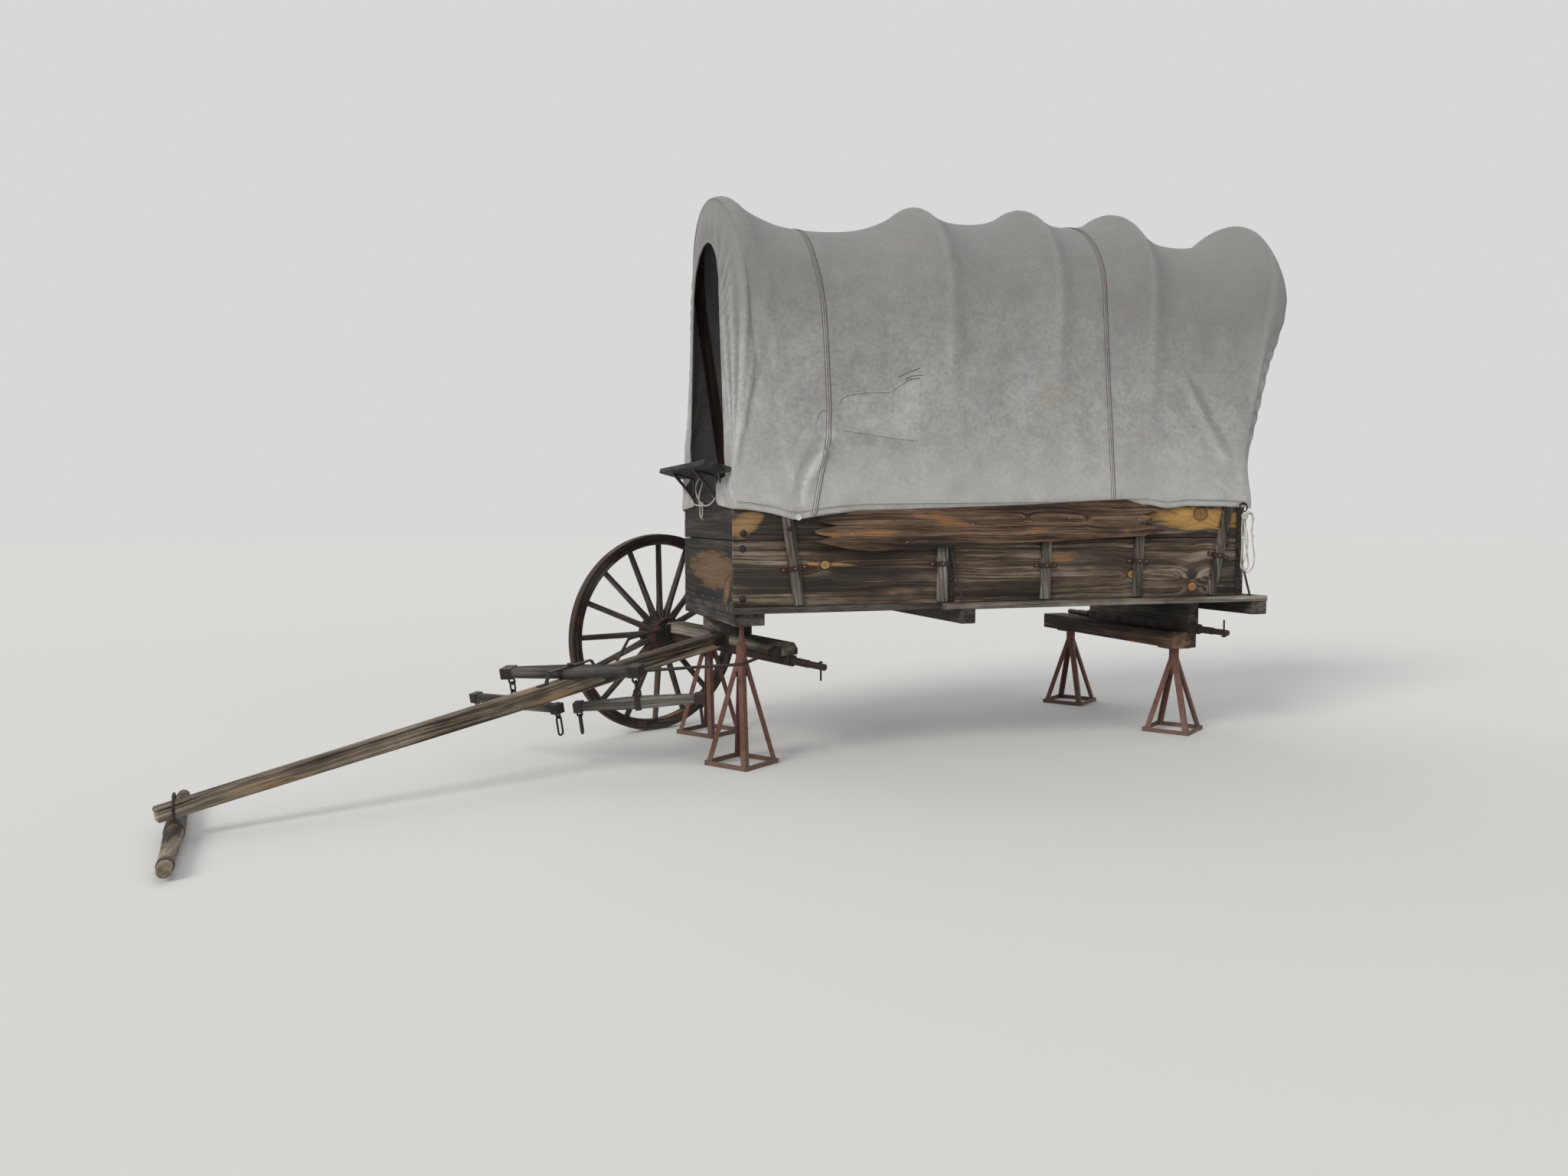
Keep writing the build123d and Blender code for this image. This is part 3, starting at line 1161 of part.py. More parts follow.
def ring_iron(middle, reach, turn_about, wire):
    # A closed round ring; reach points from its middle to its wire
    with BuildPart() as ring:
        with BuildSketch(Plane(origin=middle + reach, x_dir=reach, z_dir=turn_about.cross(reach))):
            Circle(wire)
        revolve(axis=Axis(middle, turn_about))
    return ring.part


def long_link(middle, tall, across, half_height, half_width, wire):
    # A closed link with straight sides, in the plane of tall and across
    link_plane = Plane(origin=middle, x_dir=across, z_dir=across.cross(tall))
    with BuildPart() as link:
        with BuildLine(link_plane):
            straight = half_height - half_width
            Line((half_width, -straight), (half_width, straight))
            ThreePointArc((half_width, straight), (0, half_height), (-half_width, straight))
            Line((-half_width, straight), (-half_width, -straight))
            ThreePointArc((-half_width, -straight), (0, -half_height), (half_width, -straight))
        with BuildSketch(Plane(origin=middle + across * half_width, z_dir=tall)):
            Circle(wire)
        sweep()
    return link.part


def singletree_iron(side, swing, wood):
    hang, bar, across = singletree_frame(side, swing)
    half = SINGLETREE_LENGTH / 2
    middle = SINGLETREE_TOP - SINGLETREE_DEPTH / 2
    with BuildPart() as iron:
        with BuildSketch(Plane(origin=hang + POLE_UP * middle - bar * 14, x_dir=across, z_dir=bar)):
            Rectangle(SINGLETREE_WIDTH + 2 * CAP, SINGLETREE_DEPTH + 2 * CAP)
        extrude(amount=28)
        for end in (1, -1):
            with BuildSketch(Plane(origin=hang + POLE_UP * middle + bar * (end * (half - 40)), x_dir=across,
                                   z_dir=bar * end)):
                Rectangle(SINGLETREE_WIDTH + 2 * CAP, SINGLETREE_END + 2 * CAP + 2)
            extrude(amount=43)
        add(wood, mode=Mode.SUBTRACT)
        add(ring_iron(hang + POLE_UP * LOW_EYE_Z, bar * EYE, across, EYE_WIRE))
        link_middle = hang + POLE_UP * (LINK_TOP - LINK_DROP / 2)
        add(long_link(link_middle, POLE_UP, across, LINK_DROP / 2, LINK_HALF, LINK_WIRE))
        for end in (1, -1):
            hook = hang + POLE_UP * (middle - SINGLETREE_END / 2 - CAP - 14) + bar * (end * (half - 18))
            add(ring_iron(hook, bar * 12, across, 5))
            add(long_link(hook - POLE_UP * 52, POLE_UP, across, 48, 14, 5))
    return iron.part


NEAR = singletree_wood(1, NEAR_SINGLETREE_SWING)
FAR = singletree_wood(-1, FAR_SINGLETREE_SWING)

with BuildPart() as singletree_near:
    add(NEAR)
singletree_near.part.label = "singletree_near"

with BuildPart() as singletree_far:
    add(FAR)
singletree_far.part.label = "singletree_far"

with BuildPart() as singletree_near_irons:
    add(singletree_iron(1, NEAR_SINGLETREE_SWING, NEAR))
singletree_near_irons.part.label = "singletree_near_irons"

with BuildPart() as singletree_far_irons:
    add(singletree_iron(-1, FAR_SINGLETREE_SWING, FAR))
singletree_far_irons.part.label = "singletree_far_irons"


# Neck yoke on the ground, hung from the tongue's tip by a stirrup

BAND = 3.5
ring_at = pole_point(TONGUE_LENGTH - YOKE_BEFORE_TIP, 0, 0)
YOKE_WAY = Vector(-sin(radians(YOKE_TURN)), cos(radians(YOKE_TURN)), 0)
YOKE_FORWARD = Vector(cos(radians(YOKE_TURN)), sin(radians(YOKE_TURN)), 0)
YOKE = Vector(ring_at.X, ring_at.Y, YOKE_RADIUS + BAND)
YOKE_AXIS = Axis(YOKE, YOKE_WAY)
yoke_profile = Plane(origin=YOKE, x_dir=YOKE_WAY, z_dir=YOKE_FORWARD)

with BuildPart() as neck_yoke:
    with BuildSketch(yoke_profile):
        with BuildLine():
            half = YOKE_LENGTH / 2
            Polyline((-half, 0), (-half, YOKE_END_RADIUS - 5), (-half + 8, YOKE_END_RADIUS),
                     (-half + 110, YOKE_END_RADIUS + 2), (-90, YOKE_RADIUS), (90, YOKE_RADIUS),
                     (half - 110, YOKE_END_RADIUS + 2), (half - 8, YOKE_END_RADIUS),
                     (half, YOKE_END_RADIUS - 5), (half, 0), close=True)
        make_face()
    revolve(axis=YOKE_AXIS)
neck_yoke.part.label = "neck_yoke"

STIRRUP = 50.0
STIRRUP_WIRE = 6.0

with BuildPart() as yoke_irons:
    with BuildSketch(Plane(origin=YOKE - YOKE_WAY * 62, z_dir=YOKE_WAY)):
        Circle(YOKE_RADIUS + BAND)
        Circle(YOKE_RADIUS, mode=Mode.SUBTRACT)
    extrude(amount=124)
    for end in (1, -1):
        with BuildSketch(Plane(origin=YOKE + YOKE_WAY * (end * (YOKE_LENGTH / 2 - 100)), z_dir=YOKE_WAY * end)):
            Circle(YOKE_END_RADIUS + 5)
        extrude(amount=30)
    add(neck_yoke.part, mode=Mode.SUBTRACT)
    stirrup_plane = Plane(origin=(YOKE.X, YOKE.Y, ring_at.Z + 10), x_dir=YOKE_WAY, z_dir=YOKE_FORWARD)
    foot_drop = ring_at.Z + 10 - YOKE.Z - YOKE_RADIUS - 2
    with BuildLine(stirrup_plane):
        Line((STIRRUP, -foot_drop), (STIRRUP, 0))
        ThreePointArc((STIRRUP, 0), (0, STIRRUP), (-STIRRUP, 0))
        Line((-STIRRUP, 0), (-STIRRUP, -foot_drop))
    with BuildSketch(Plane(origin=(YOKE.X, YOKE.Y, YOKE.Z + YOKE_RADIUS + 2) + YOKE_WAY * STIRRUP,
                           z_dir=(0, 0, 1))):
        Circle(STIRRUP_WIRE)
    sweep()
yoke_irons.part.label = "yoke_irons"

for piece in (floor, side_near, side_far, end_boards_front,
              end_boards_rear, cleats, rail_near, rail_far, cross_timber_front, cross_timber_middle,
              cross_timber_rear, bolster_rear, axle_rear, stand_front_near, stand_front_far, stand_rear_near,
              stand_rear_far, prop_beam, bow_1, bow_2, bow_3, bow_4, bow_5, bow_straps, side_braces,
              cover_front, cover_middle, cover_rear, sign_board, footboard, footboard_brackets, cover_flaps,
              tie_bow, tie_rope, hank_iron, rope_hank,
              axle_front, axle_front_timber, turning_block, tongue_irons, wheel_hub,
              wheel_irons, wheel_spokes, wheel_rim, wheel_tyre, tongue, tongue_braces,
              hammer_strap, doubletree, doubletree_irons, singletree_near, singletree_far,
              singletree_near_irons, singletree_far_irons, neck_yoke, yoke_irons):
    export_step(piece.part, "parts/" + piece.part.label + ".step")
    print(piece.part.label, round(piece.part.volume))

print("gear point", GEAR, "along", ALONG, "forward", FORWARD)
print("hinge", HINGE, "pole", POLE, "pole up", POLE_UP)
print("doubletree", DOUBLETREE + POLE_UP * BOARD_BOTTOM)
print("near hang", DOUBLETREE + TREE * HANG_AT + POLE_UP * EYE_Z)
print("far hang", DOUBLETREE - TREE * HANG_AT + POLE_UP * EYE_Z)
print("yoke", YOKE, "ring", ring_at)
print("hub", HUB_MIDDLE)
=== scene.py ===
import math
import random

import bpy
import numpy as np
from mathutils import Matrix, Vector
from mathutils.bvhtree import BVHTree


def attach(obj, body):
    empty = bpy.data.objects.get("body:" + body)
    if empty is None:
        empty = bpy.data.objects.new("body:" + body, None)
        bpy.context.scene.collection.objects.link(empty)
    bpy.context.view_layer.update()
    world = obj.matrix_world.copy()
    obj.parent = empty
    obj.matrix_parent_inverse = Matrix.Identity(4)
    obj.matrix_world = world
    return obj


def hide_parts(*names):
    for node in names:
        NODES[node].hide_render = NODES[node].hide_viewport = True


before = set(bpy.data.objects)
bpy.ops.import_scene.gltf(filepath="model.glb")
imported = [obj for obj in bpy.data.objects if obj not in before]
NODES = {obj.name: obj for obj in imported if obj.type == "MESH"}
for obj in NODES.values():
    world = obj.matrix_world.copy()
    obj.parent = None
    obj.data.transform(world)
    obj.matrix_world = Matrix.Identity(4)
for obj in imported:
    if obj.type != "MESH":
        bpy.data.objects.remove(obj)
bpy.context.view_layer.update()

# Sizes of the wagon in metres, as its solids have them
X_FRONT = 1.55
X_REAR = -1.55
SIDE = 0.5275
FLOOR_TOP = 0.812
LOWER_TOP = 1.147
BOX_TOP = 1.401
CLOTH_OUT = 0.5465
HEM = 1.310
# The bows from the front: x at the floor, x at the crown and the crown's height
BOW_BASE = [1.203, 0.402, -0.222, -0.816, -1.318]
BOW_CROWN = [1.512, 0.394, -0.268, -0.882, -1.788]
BOW_TOP = [2.950, 2.987, 3.026, 3.050, 3.053]
BOW_WIDTH = 0.060

# Running gear's directions as the wagon stands
GEAR = Vector((1.438, 0, 0.554743))
ALONG = Vector((-0.382319, 0.923, -0.043619))
FORWARD = Vector((0.92388, 0.382683, 0))
UP = FORWARD.cross(ALONG)
HINGE = Vector((1.53434, 0.04179, 0.59471))
POLE = Vector((0.911976, 0.369311, -0.178632))
POLE_UP = Vector((0.148768, 0.108074, 0.982949))
HUB = Vector((1.685736, -0.598104, 0.583009))


def placed(name, data, back=None):
    """A new object in the scene, turned so that its back faces the way given."""
    made = bpy.data.objects.new(name, data)
    bpy.context.scene.collection.objects.link(made)
    if back is not None:
        made.rotation_mode = "QUATERNION"
        made.rotation_quaternion = Vector(back).to_track_quat("Z", "Y")
    return made


# Camera

data = bpy.data.cameras.new("camera")
data.lens = 25.6
data.sensor_width = 36.0
data.clip_end = 200
camera = placed("camera", data, (0.3130, 0.9477, 0.0610))
camera.location = (3.054, 5.887, 1.252)
bpy.context.scene.camera = camera
bpy.context.scene.view_settings.view_transform = "Standard"


# Node trees

class Value:
    """An output in a node tree. Arithmetic on it adds nodes."""

    def __init__(self, shade, socket):
        self.shade = shade
        self.socket = socket

    def __add__(self, other):
        return self.shade.math("ADD", self, other)

    def __sub__(self, other):
        return self.shade.math("SUBTRACT", self, other)

    def __rsub__(self, other):
        return self.shade.math("SUBTRACT", other, self)

    def __mul__(self, other):
        return self.shade.math("MULTIPLY", self, other)

    def __truediv__(self, other):
        return self.shade.math("DIVIDE", self, other)

    def __abs__(self):
        return self.shade.math("ABSOLUTE", self)


def dim(share, colour):
    return tuple(share * c for c in colour)


class Shade:
    def __init__(self, name):
        self.material = bpy.data.materials.new(name)
        self.material.use_nodes = True
        self.tree = self.material.node_tree
        self.tree.nodes.clear()
        self.places = self.read("TexCoord", "Object")

    def add(self, kind, inputs=None, **settings):
        made = self.tree.nodes.new("ShaderNode" + kind)
        for key, value in settings.items():
            setattr(made, key, value)
        for key, value in (inputs or {}).items():
            if isinstance(value, Value):
                self.tree.links.new(value.socket, made.inputs[key])
            elif made.inputs[key].type == "RGBA" and len(value) == 3:
                made.inputs[key].default_value = (*value, 1.0)
            else:
                made.inputs[key].default_value = value
        return made

    def read(self, kind, output, inputs=None, **settings):
        return Value(self, self.add(kind, inputs, **settings).outputs[output])

    def math(self, operation, a, b=0.0):
        return self.read("Math", 0, {0: a, 1: b}, operation=operation)

    def vector(self, operation, a, b):
        output = "Value" if operation == "DOT_PRODUCT" else "Vector"
        return self.read("VectorMath", output, {0: a, 1: b}, operation=operation)

    def join(self, x, y, z):
        return self.read("CombineXYZ", 0, {0: x, 1: y, 2: z})

    def part(self, vector):
        made = self.add("SeparateXYZ", {0: vector})
        return [Value(self, socket) for socket in made.outputs]

    def along(self, origin, axes):
        """A place's distances from an origin along each axis."""
        moved = self.vector("SUBTRACT", self.places, tuple(origin))
        return [self.vector("DOT_PRODUCT", moved, tuple(axis)) for axis in axes]

    def hypot(self, a, b):
        return self.math("SQRT", a * a + b * b)

    def noise(self, vector, scale, detail=3.0, rough=0.5, bend=0.0):
        """Noise at one scale, or at one for each of the vector's parts."""
        if isinstance(scale, tuple):
            vector = self.vector("MULTIPLY", vector, scale)
            scale = 1.0
        return self.read("TexNoise", "Fac", {"Vector": vector, "Scale": scale, "Detail": detail,
                                             "Roughness": rough, "Distortion": bend})

    def step(self, value, low, high, to_low=0.0, to_high=1.0):
        limits = {"Value": value, "From Min": low, "From Max": high, "To Min": to_low, "To Max": to_high}
        return self.read("MapRange", "Result", limits, interpolation_type="SMOOTHSTEP")

    def mix(self, factor, a, b, blend="MIX"):
        return self.read("Mix", 2, {0: factor, 6: a, 7: b}, data_type="RGBA", blend_type=blend)

    def ramp(self, value, *stops):
        made = self.add("ValToRGB", {0: value})
        elements = made.color_ramp.elements
        while len(elements) < len(stops):
            elements.new(0.5)
        for element, (at, colour) in zip(elements, stops):
            element.position = at
            element.color = (*colour, 1.0)
        return Value(self, made.outputs["Color"])

    def bump(self, height, distance, strength=1.0):
        return self.read("Bump", 0, {"Height": height, "Distance": distance, "Strength": strength})

    def finish(self, colour, roughness, bump=None, metallic=0.0, **fixed):
        inputs = {"Base Color": colour, "Roughness": roughness, "Metallic": metallic}
        inputs.update({key.replace("_", " "): value for key, value in fixed.items()})
        if bump is not None:
            inputs["Normal"] = bump
        self.add("OutputMaterial", {"Surface": self.read("BsdfPrincipled", 0, inputs)})
        return self.material


# Frames of the grain: along it, across the face and into the wood

def straight(origin, along, across):
    along = Vector(along).normalized()
    inward = along.cross(Vector(across)).normalized()
    return lambda s: s.along(origin, (along, inward.cross(along), inward))


def round_hub(*order):
    """Radius, angle and place along the wheel's axis, in the order asked for."""
    axis = ALONG.normalized()
    side = axis.cross(UP).normalized()

    def frame_of(s):
        x, y, z = s.along(HUB, (side.cross(axis), side, axis))
        turned = s.hypot(x, y), s.math("ARCTAN2", y, x), z
        return [turned[k] for k in order]
    return frame_of


def wood(name, frame_of, grey, brown, dark, fresh, bare=0.62, contrast=1.0, knots=(), patches=(), stains=(),
         offset=0.0, split_at=None, upper=None):
    """Weathered wood. Knots are (along, across, radius, tone). Patches of bare wood on the face are (along,
    across, half length, half width, turn, tone), and dark stains end in a strength instead of the tone.
    Upper is (low, high, strength, tone) where the wood takes another tone further up. Split_at parts two
    boards."""
    s = Shade(name)
    face, v, w = frame_of(s)
    u = face
    grain_v = v
    if split_at is not None:
        board = s.math("GREATER_THAN", v, split_at)
        u = u + board * 3.7
        grain_v = v + board * 0.61
    u = u + offset
    plain = s.join(u, grain_v, w)
    line = (s.noise(plain, (1.3, 4.0, 5.0), 2.0) - 0.5) * 0.055 + v
    # Grain parts round each knot
    for along, across, radius, _ in knots:
        reach = (face - along) / (3.2 * radius)
        bulge = s.math("EXPONENT", reach * reach * -1.0) * (1.5 * radius)
        off = line - across
        line = s.math("SIGN", off) * s.hypot(off, bulge) + across
    if split_at is not None:
        line = line + board * 0.61
    grain = s.join(u, line, w)
    band = s.noise(grain, (0.55, 30.0, 12.0), 5.0, 0.66)
    fibre = s.noise(grain, (7.0, 430.0, 260.0), 3.0, 0.6)
    blotch = s.noise(grain, (1.5, 6.5, 5.0), 3.0, 0.55, 0.3)
    streak = s.noise(grain, (1.2, 105.0, 40.0), 3.0, 0.6)
    ragged = s.noise(grain, (4.0, 34.0, 5.0), 5.0, 0.65) - 0.5
    open_grain = s.noise(grain, (1.7, 120.0, 60.0), 2.0)
    crack = s.step(abs(open_grain - 0.56), 0.0, 0.016, 1.0, 0.0) * s.step(blotch, 0.42, 0.60)
    tone = band * 0.36 + fibre * 0.20 + streak * 0.22 + blotch * 0.22
    tone = (tone - 0.5) * (4.3 * contrast) + 0.47
    colour = s.ramp(tone, (0.20, dark), (0.45, brown), (0.74, grey))
    age = s.noise(plain, (2.07, 6.9, 2.3), 4.0, 0.6)
    aged = s.ramp(age, (0.34, (0.28, 0.24, 0.21)), (0.50, (0.70, 0.68, 0.65)), (0.64, (1.05, 1.05, 1.05)))
    colour = s.mix(1.0, colour, aged, "MULTIPLY")

    def reach_of(along, across, length, width, turn):
        du = face - along
        dv = v - across
        cos = math.cos(turn)
        sin = math.sin(turn)
        away = s.hypot(du * (cos / length) + dv * (sin / length), dv * (cos / width) - du * (sin / width))
        return ragged * 1.2 + away

    for *place, strength in stains:
        colour = s.mix(s.step(reach_of(*place), 0.35, 1.25, strength, 0.0), colour, dark)
    for *place, bared in patches:
        away = reach_of(*place)
        mask = s.step(away, 0.74, 1.06, 1.0, 0.0)
        patch = s.ramp(tone, (0.10, dim(0.38, bared)), (0.5, dim(0.75, bared)), (0.85, bared))
        patch = s.mix(s.step(away, 0.25, 1.0, 0.0, 0.55), patch, dim(0.42, bared))
        rim = s.step(away, 0.95, 1.40, 1.0, 0.0) * 0.55
        colour = s.mix(rim * (1.0 - mask), colour, dark)
        colour = s.mix(mask, colour, patch)
    warm = s.ramp(tone, (0.15, dim(0.33, fresh)), (0.5, dim(0.72, fresh)), (0.85, fresh))
    colour = s.mix(s.step(blotch + (band - 0.5) * 0.25, bare, bare + 0.10), colour, warm)
    height = band * 0.6 + fibre * 0.35 - crack * 0.55
    for along, across, radius, eye_tone in knots:
        away = ragged * 0.35 + s.hypot((face - along) / radius, (v - across) / (0.82 * radius))
        ring = s.math("SINE", away * 17.0) * 0.5 + 0.5
        eye = s.ramp(ring, (0.2, dim(0.52, eye_tone)), (0.9, eye_tone))
        eye = s.mix(s.step(away, 0.0, 0.35, 0.7, 0.0), eye, dim(0.35, eye_tone))
        mask = s.step(away, 0.90, 1.0, 1.0, 0.0)
        rim = s.step(away, 1.0, 1.5, 1.0, 0.0) * 0.8
        colour = s.mix(rim, colour, dim(0.7, dark))
        colour = s.mix(mask, colour, eye)
        height = height - rim * (1.0 - mask) * 0.5
    colour = s.mix(crack, colour, dim(0.4, dark))
    if upper is not None:
        low, high, strength, upper_tone = upper
        colour = s.mix(s.step(s.part(s.places)[2], low, high, 0.0, strength), colour, upper_tone)
    return s.finish(colour, s.step(tone, 0.0, 1.0, 0.93, 0.73), s.bump(height, 0.0035, 0.9))


def iron(name, base, rust, share=0.5, rough=0.72, chips=None, metal=0.35):
    """Dark iron with rust in blotches and pits, or old paint with chips over it."""
    s = Shade(name)
    cloud = s.noise(s.places, 14.0, 5.0, 0.65, 0.4)
    fine = s.noise(s.places, 130.0, 4.0, 0.7)
    pits = s.noise(s.places, 420.0, 2.0, 0.6)
    spread = s.step(cloud * 0.7 + fine * 0.3, 0.88 - share, 1.12 - share)
    rusty = s.ramp(fine, (0.3, dim(0.45, rust)), (0.7, rust))
    colour = s.mix(spread, s.mix(s.step(fine, 0.3, 0.7), dim(0.6, base), base), rusty)
    if chips is not None:
        chipped = s.step(s.noise(s.places, 38.0, 5.0, 0.7) * 0.75 + pits * 0.25, 0.56, 0.60)
        colour = s.mix(chipped, colour, chips)
    dust = s.step(s.part(s.places)[2], 0.0, 0.14, 0.45, 0.0)
    colour = s.mix(dust, colour, (0.16, 0.125, 0.095))
    roughness = s.step(spread, 0.0, 1.0, rough - 0.15, rough + 0.15)
    return s.finish(colour, roughness, s.bump(fine * 0.6 + pits * 0.4, 0.0012, 0.8), metal)


CANVAS_DARK = (0.270, 0.264, 0.248)
CANVAS_MID = (0.345, 0.339, 0.322)
CANVAS_PALE = (0.430, 0.424, 0.406)
# Painted shade with grey staining for the top, and painted light for low down
CANVAS_TOP_SHADE_AND_STAIN = (0.190, 0.187, 0.180)
CANVAS_LOW_PAINTED_LIGHT = (0.600, 0.594, 0.574)
TAN = (0.310, 0.262, 0.205)
SOOT = (0.150, 0.130, 0.105)
DIRT = (0.235, 0.185, 0.125)
SCUFF = (0.105, 0.095, 0.080)
THREADS = 2900.0


def canvas(name):
    """Stained cotton canvas: its weave follows the cloth's own coordinates, its stains follow the wagon."""
    s = Shade(name)
    u, v, _ = s.part(s.read("UVMap", 0, uv_map="cloth"))
    x, _, z = s.part(s.places)
    cloud = s.noise(s.places, 1.7, 5.0, 0.6, 0.3)
    mottle = s.noise(s.places, 9.0, 6.0, 0.65)
    grain = s.noise(s.places, 42.0, 5.0, 0.7)
    tone = cloud * 0.30 + mottle * 0.28 + grain * 0.42
    colour = s.ramp(tone, (0.41, CANVAS_DARK), (0.50, CANVAS_MID), (0.59, CANVAS_PALE))
    # Painted shade with grey staining towards the top, darker towards the rear, and painted light making it
    # paler low down
    colour = s.mix(s.step(z, 1.70, 2.75, 0.0, 0.74), colour, CANVAS_TOP_SHADE_AND_STAIN)
    colour = s.mix(s.step(z, 1.28, 1.90, 0.48, 0.0), colour, CANVAS_LOW_PAINTED_LIGHT)
    rear = s.step(x, -0.40, -1.90) * s.step(z, 1.6, 2.6, 0.1, 0.60)
    colour = s.mix(rear, colour, dim(0.60, CANVAS_MID))
    # Painted shade in the folds' hollows and painted highlight on their ridges, a paler band along the bows
    # with painted shade behind, and the patch's tones
    shade_and_patch = s.read("Attribute", "Fac", attribute_name="shade_and_patch") + 1.0
    colour = s.mix(1.0, colour, s.join(shade_and_patch, shade_and_patch, shade_and_patch), "MULTIPLY")
    # Tan stains in broad clouds
    colour = s.mix(s.step(s.noise(s.places, 2.6, 4.0, 0.6, 0.6), 0.50, 0.72, 0.0, 0.26), colour, TAN)
    # Streaks down the cloth
    streak = s.noise(s.places, (15.0, 15.0, 1.1), 4.0, 0.6)
    colour = s.mix(s.step(streak, 0.55, 0.78, 0.0, 0.13), colour, SOOT)
    # Brown dirt near the hem and the flaps
    low = s.step(z, 1.30, 1.39, 0.38, 0.0) * s.step(mottle, 0.45, 0.65)
    front = s.step(x, 1.5480, 1.5560) * s.step(z, 1.42, 1.52, 0.36, 0.0)
    flaps = front * s.step(s.noise(s.places, 22.0, 4.0, 0.6), 0.42, 0.60)
    colour = s.mix(s.math("MAXIMUM", low, flaps), colour, DIRT)
    # Small scuffs and creases
    lines = s.noise(s.places, (7.0, 7.0, 17.0), 6.0, 0.72, 1.4)
    scuff = s.step(abs(lines - 0.57), 0.0, 0.010, 1.0, 0.0) * s.step(cloud, 0.50, 0.60)
    colour = s.mix(scuff * 0.34, colour, SCUFF)
    weave = s.math("SINE", u * THREADS) + s.math("SINE", v * THREADS)
    height = weave * 0.10 + grain * 0.45 + mottle * 1.5
    return s.finish(colour, 0.92, s.bump(height, 0.003, 0.55), Sheen_Weight=0.12, Sheen_Roughness=0.6)


def thread(name, colour):
    s = Shade(name)
    spun = s.step(s.noise(s.places, 260.0, 2.0), 0.35, 0.65)
    fuzz = s.bump(s.noise(s.places, 900.0, 2.0), 0.0006)
    return s.finish(s.mix(spun, dim(0.6, colour), colour), 0.85, fuzz)


def rope_fibre(name):
    s = Shade(name)
    fine = s.noise(s.places, 700.0, 3.0, 0.6)
    dirt = s.noise(s.places, 24.0, 4.0, 0.6)
    colour = s.ramp(dirt, (0.32, (0.36, 0.32, 0.25)), (0.62, (0.62, 0.59, 0.52)))
    colour = s.mix(s.step(fine, 0.35, 0.65, 0.35, 0.0), colour, (0.28, 0.25, 0.20))
    return s.finish(colour, 0.9, s.bump(fine, 0.0010, 0.8), Sheen_Weight=0.2)


def bar_direction(swing):
    swing = math.radians(swing)
    return ALONG * math.cos(swing) - POLE * math.sin(swing)


GREY = (0.295, 0.245, 0.190)
BROWN = (0.090, 0.057, 0.034)
DARK = (0.016, 0.012, 0.009)
ORANGE = (0.27, 0.130, 0.055)
YELLOW = (0.44, 0.250, 0.085)
SILVER = (0.430, 0.405, 0.370)
CLEAT_GREY = (0.300, 0.275, 0.235)
CLEAT_BROWN = (0.135, 0.112, 0.088)
CLEAT_DARK = (0.030, 0.023, 0.017)
STAR = (0.34, 0.20, 0.09)
X, Y, Z = Vector((1, 0, 0)), Vector((0, 1, 0)), Vector((0, 0, 1))
DOUBLETREE = bar_direction(31.0)
NEAR_TREE = bar_direction(43.0)
FAR_TREE = bar_direction(14.0)
YOKE = Vector((math.sin(math.radians(7)), math.cos(math.radians(7)), 0))
SPLIT = LOWER_TOP + 0.002

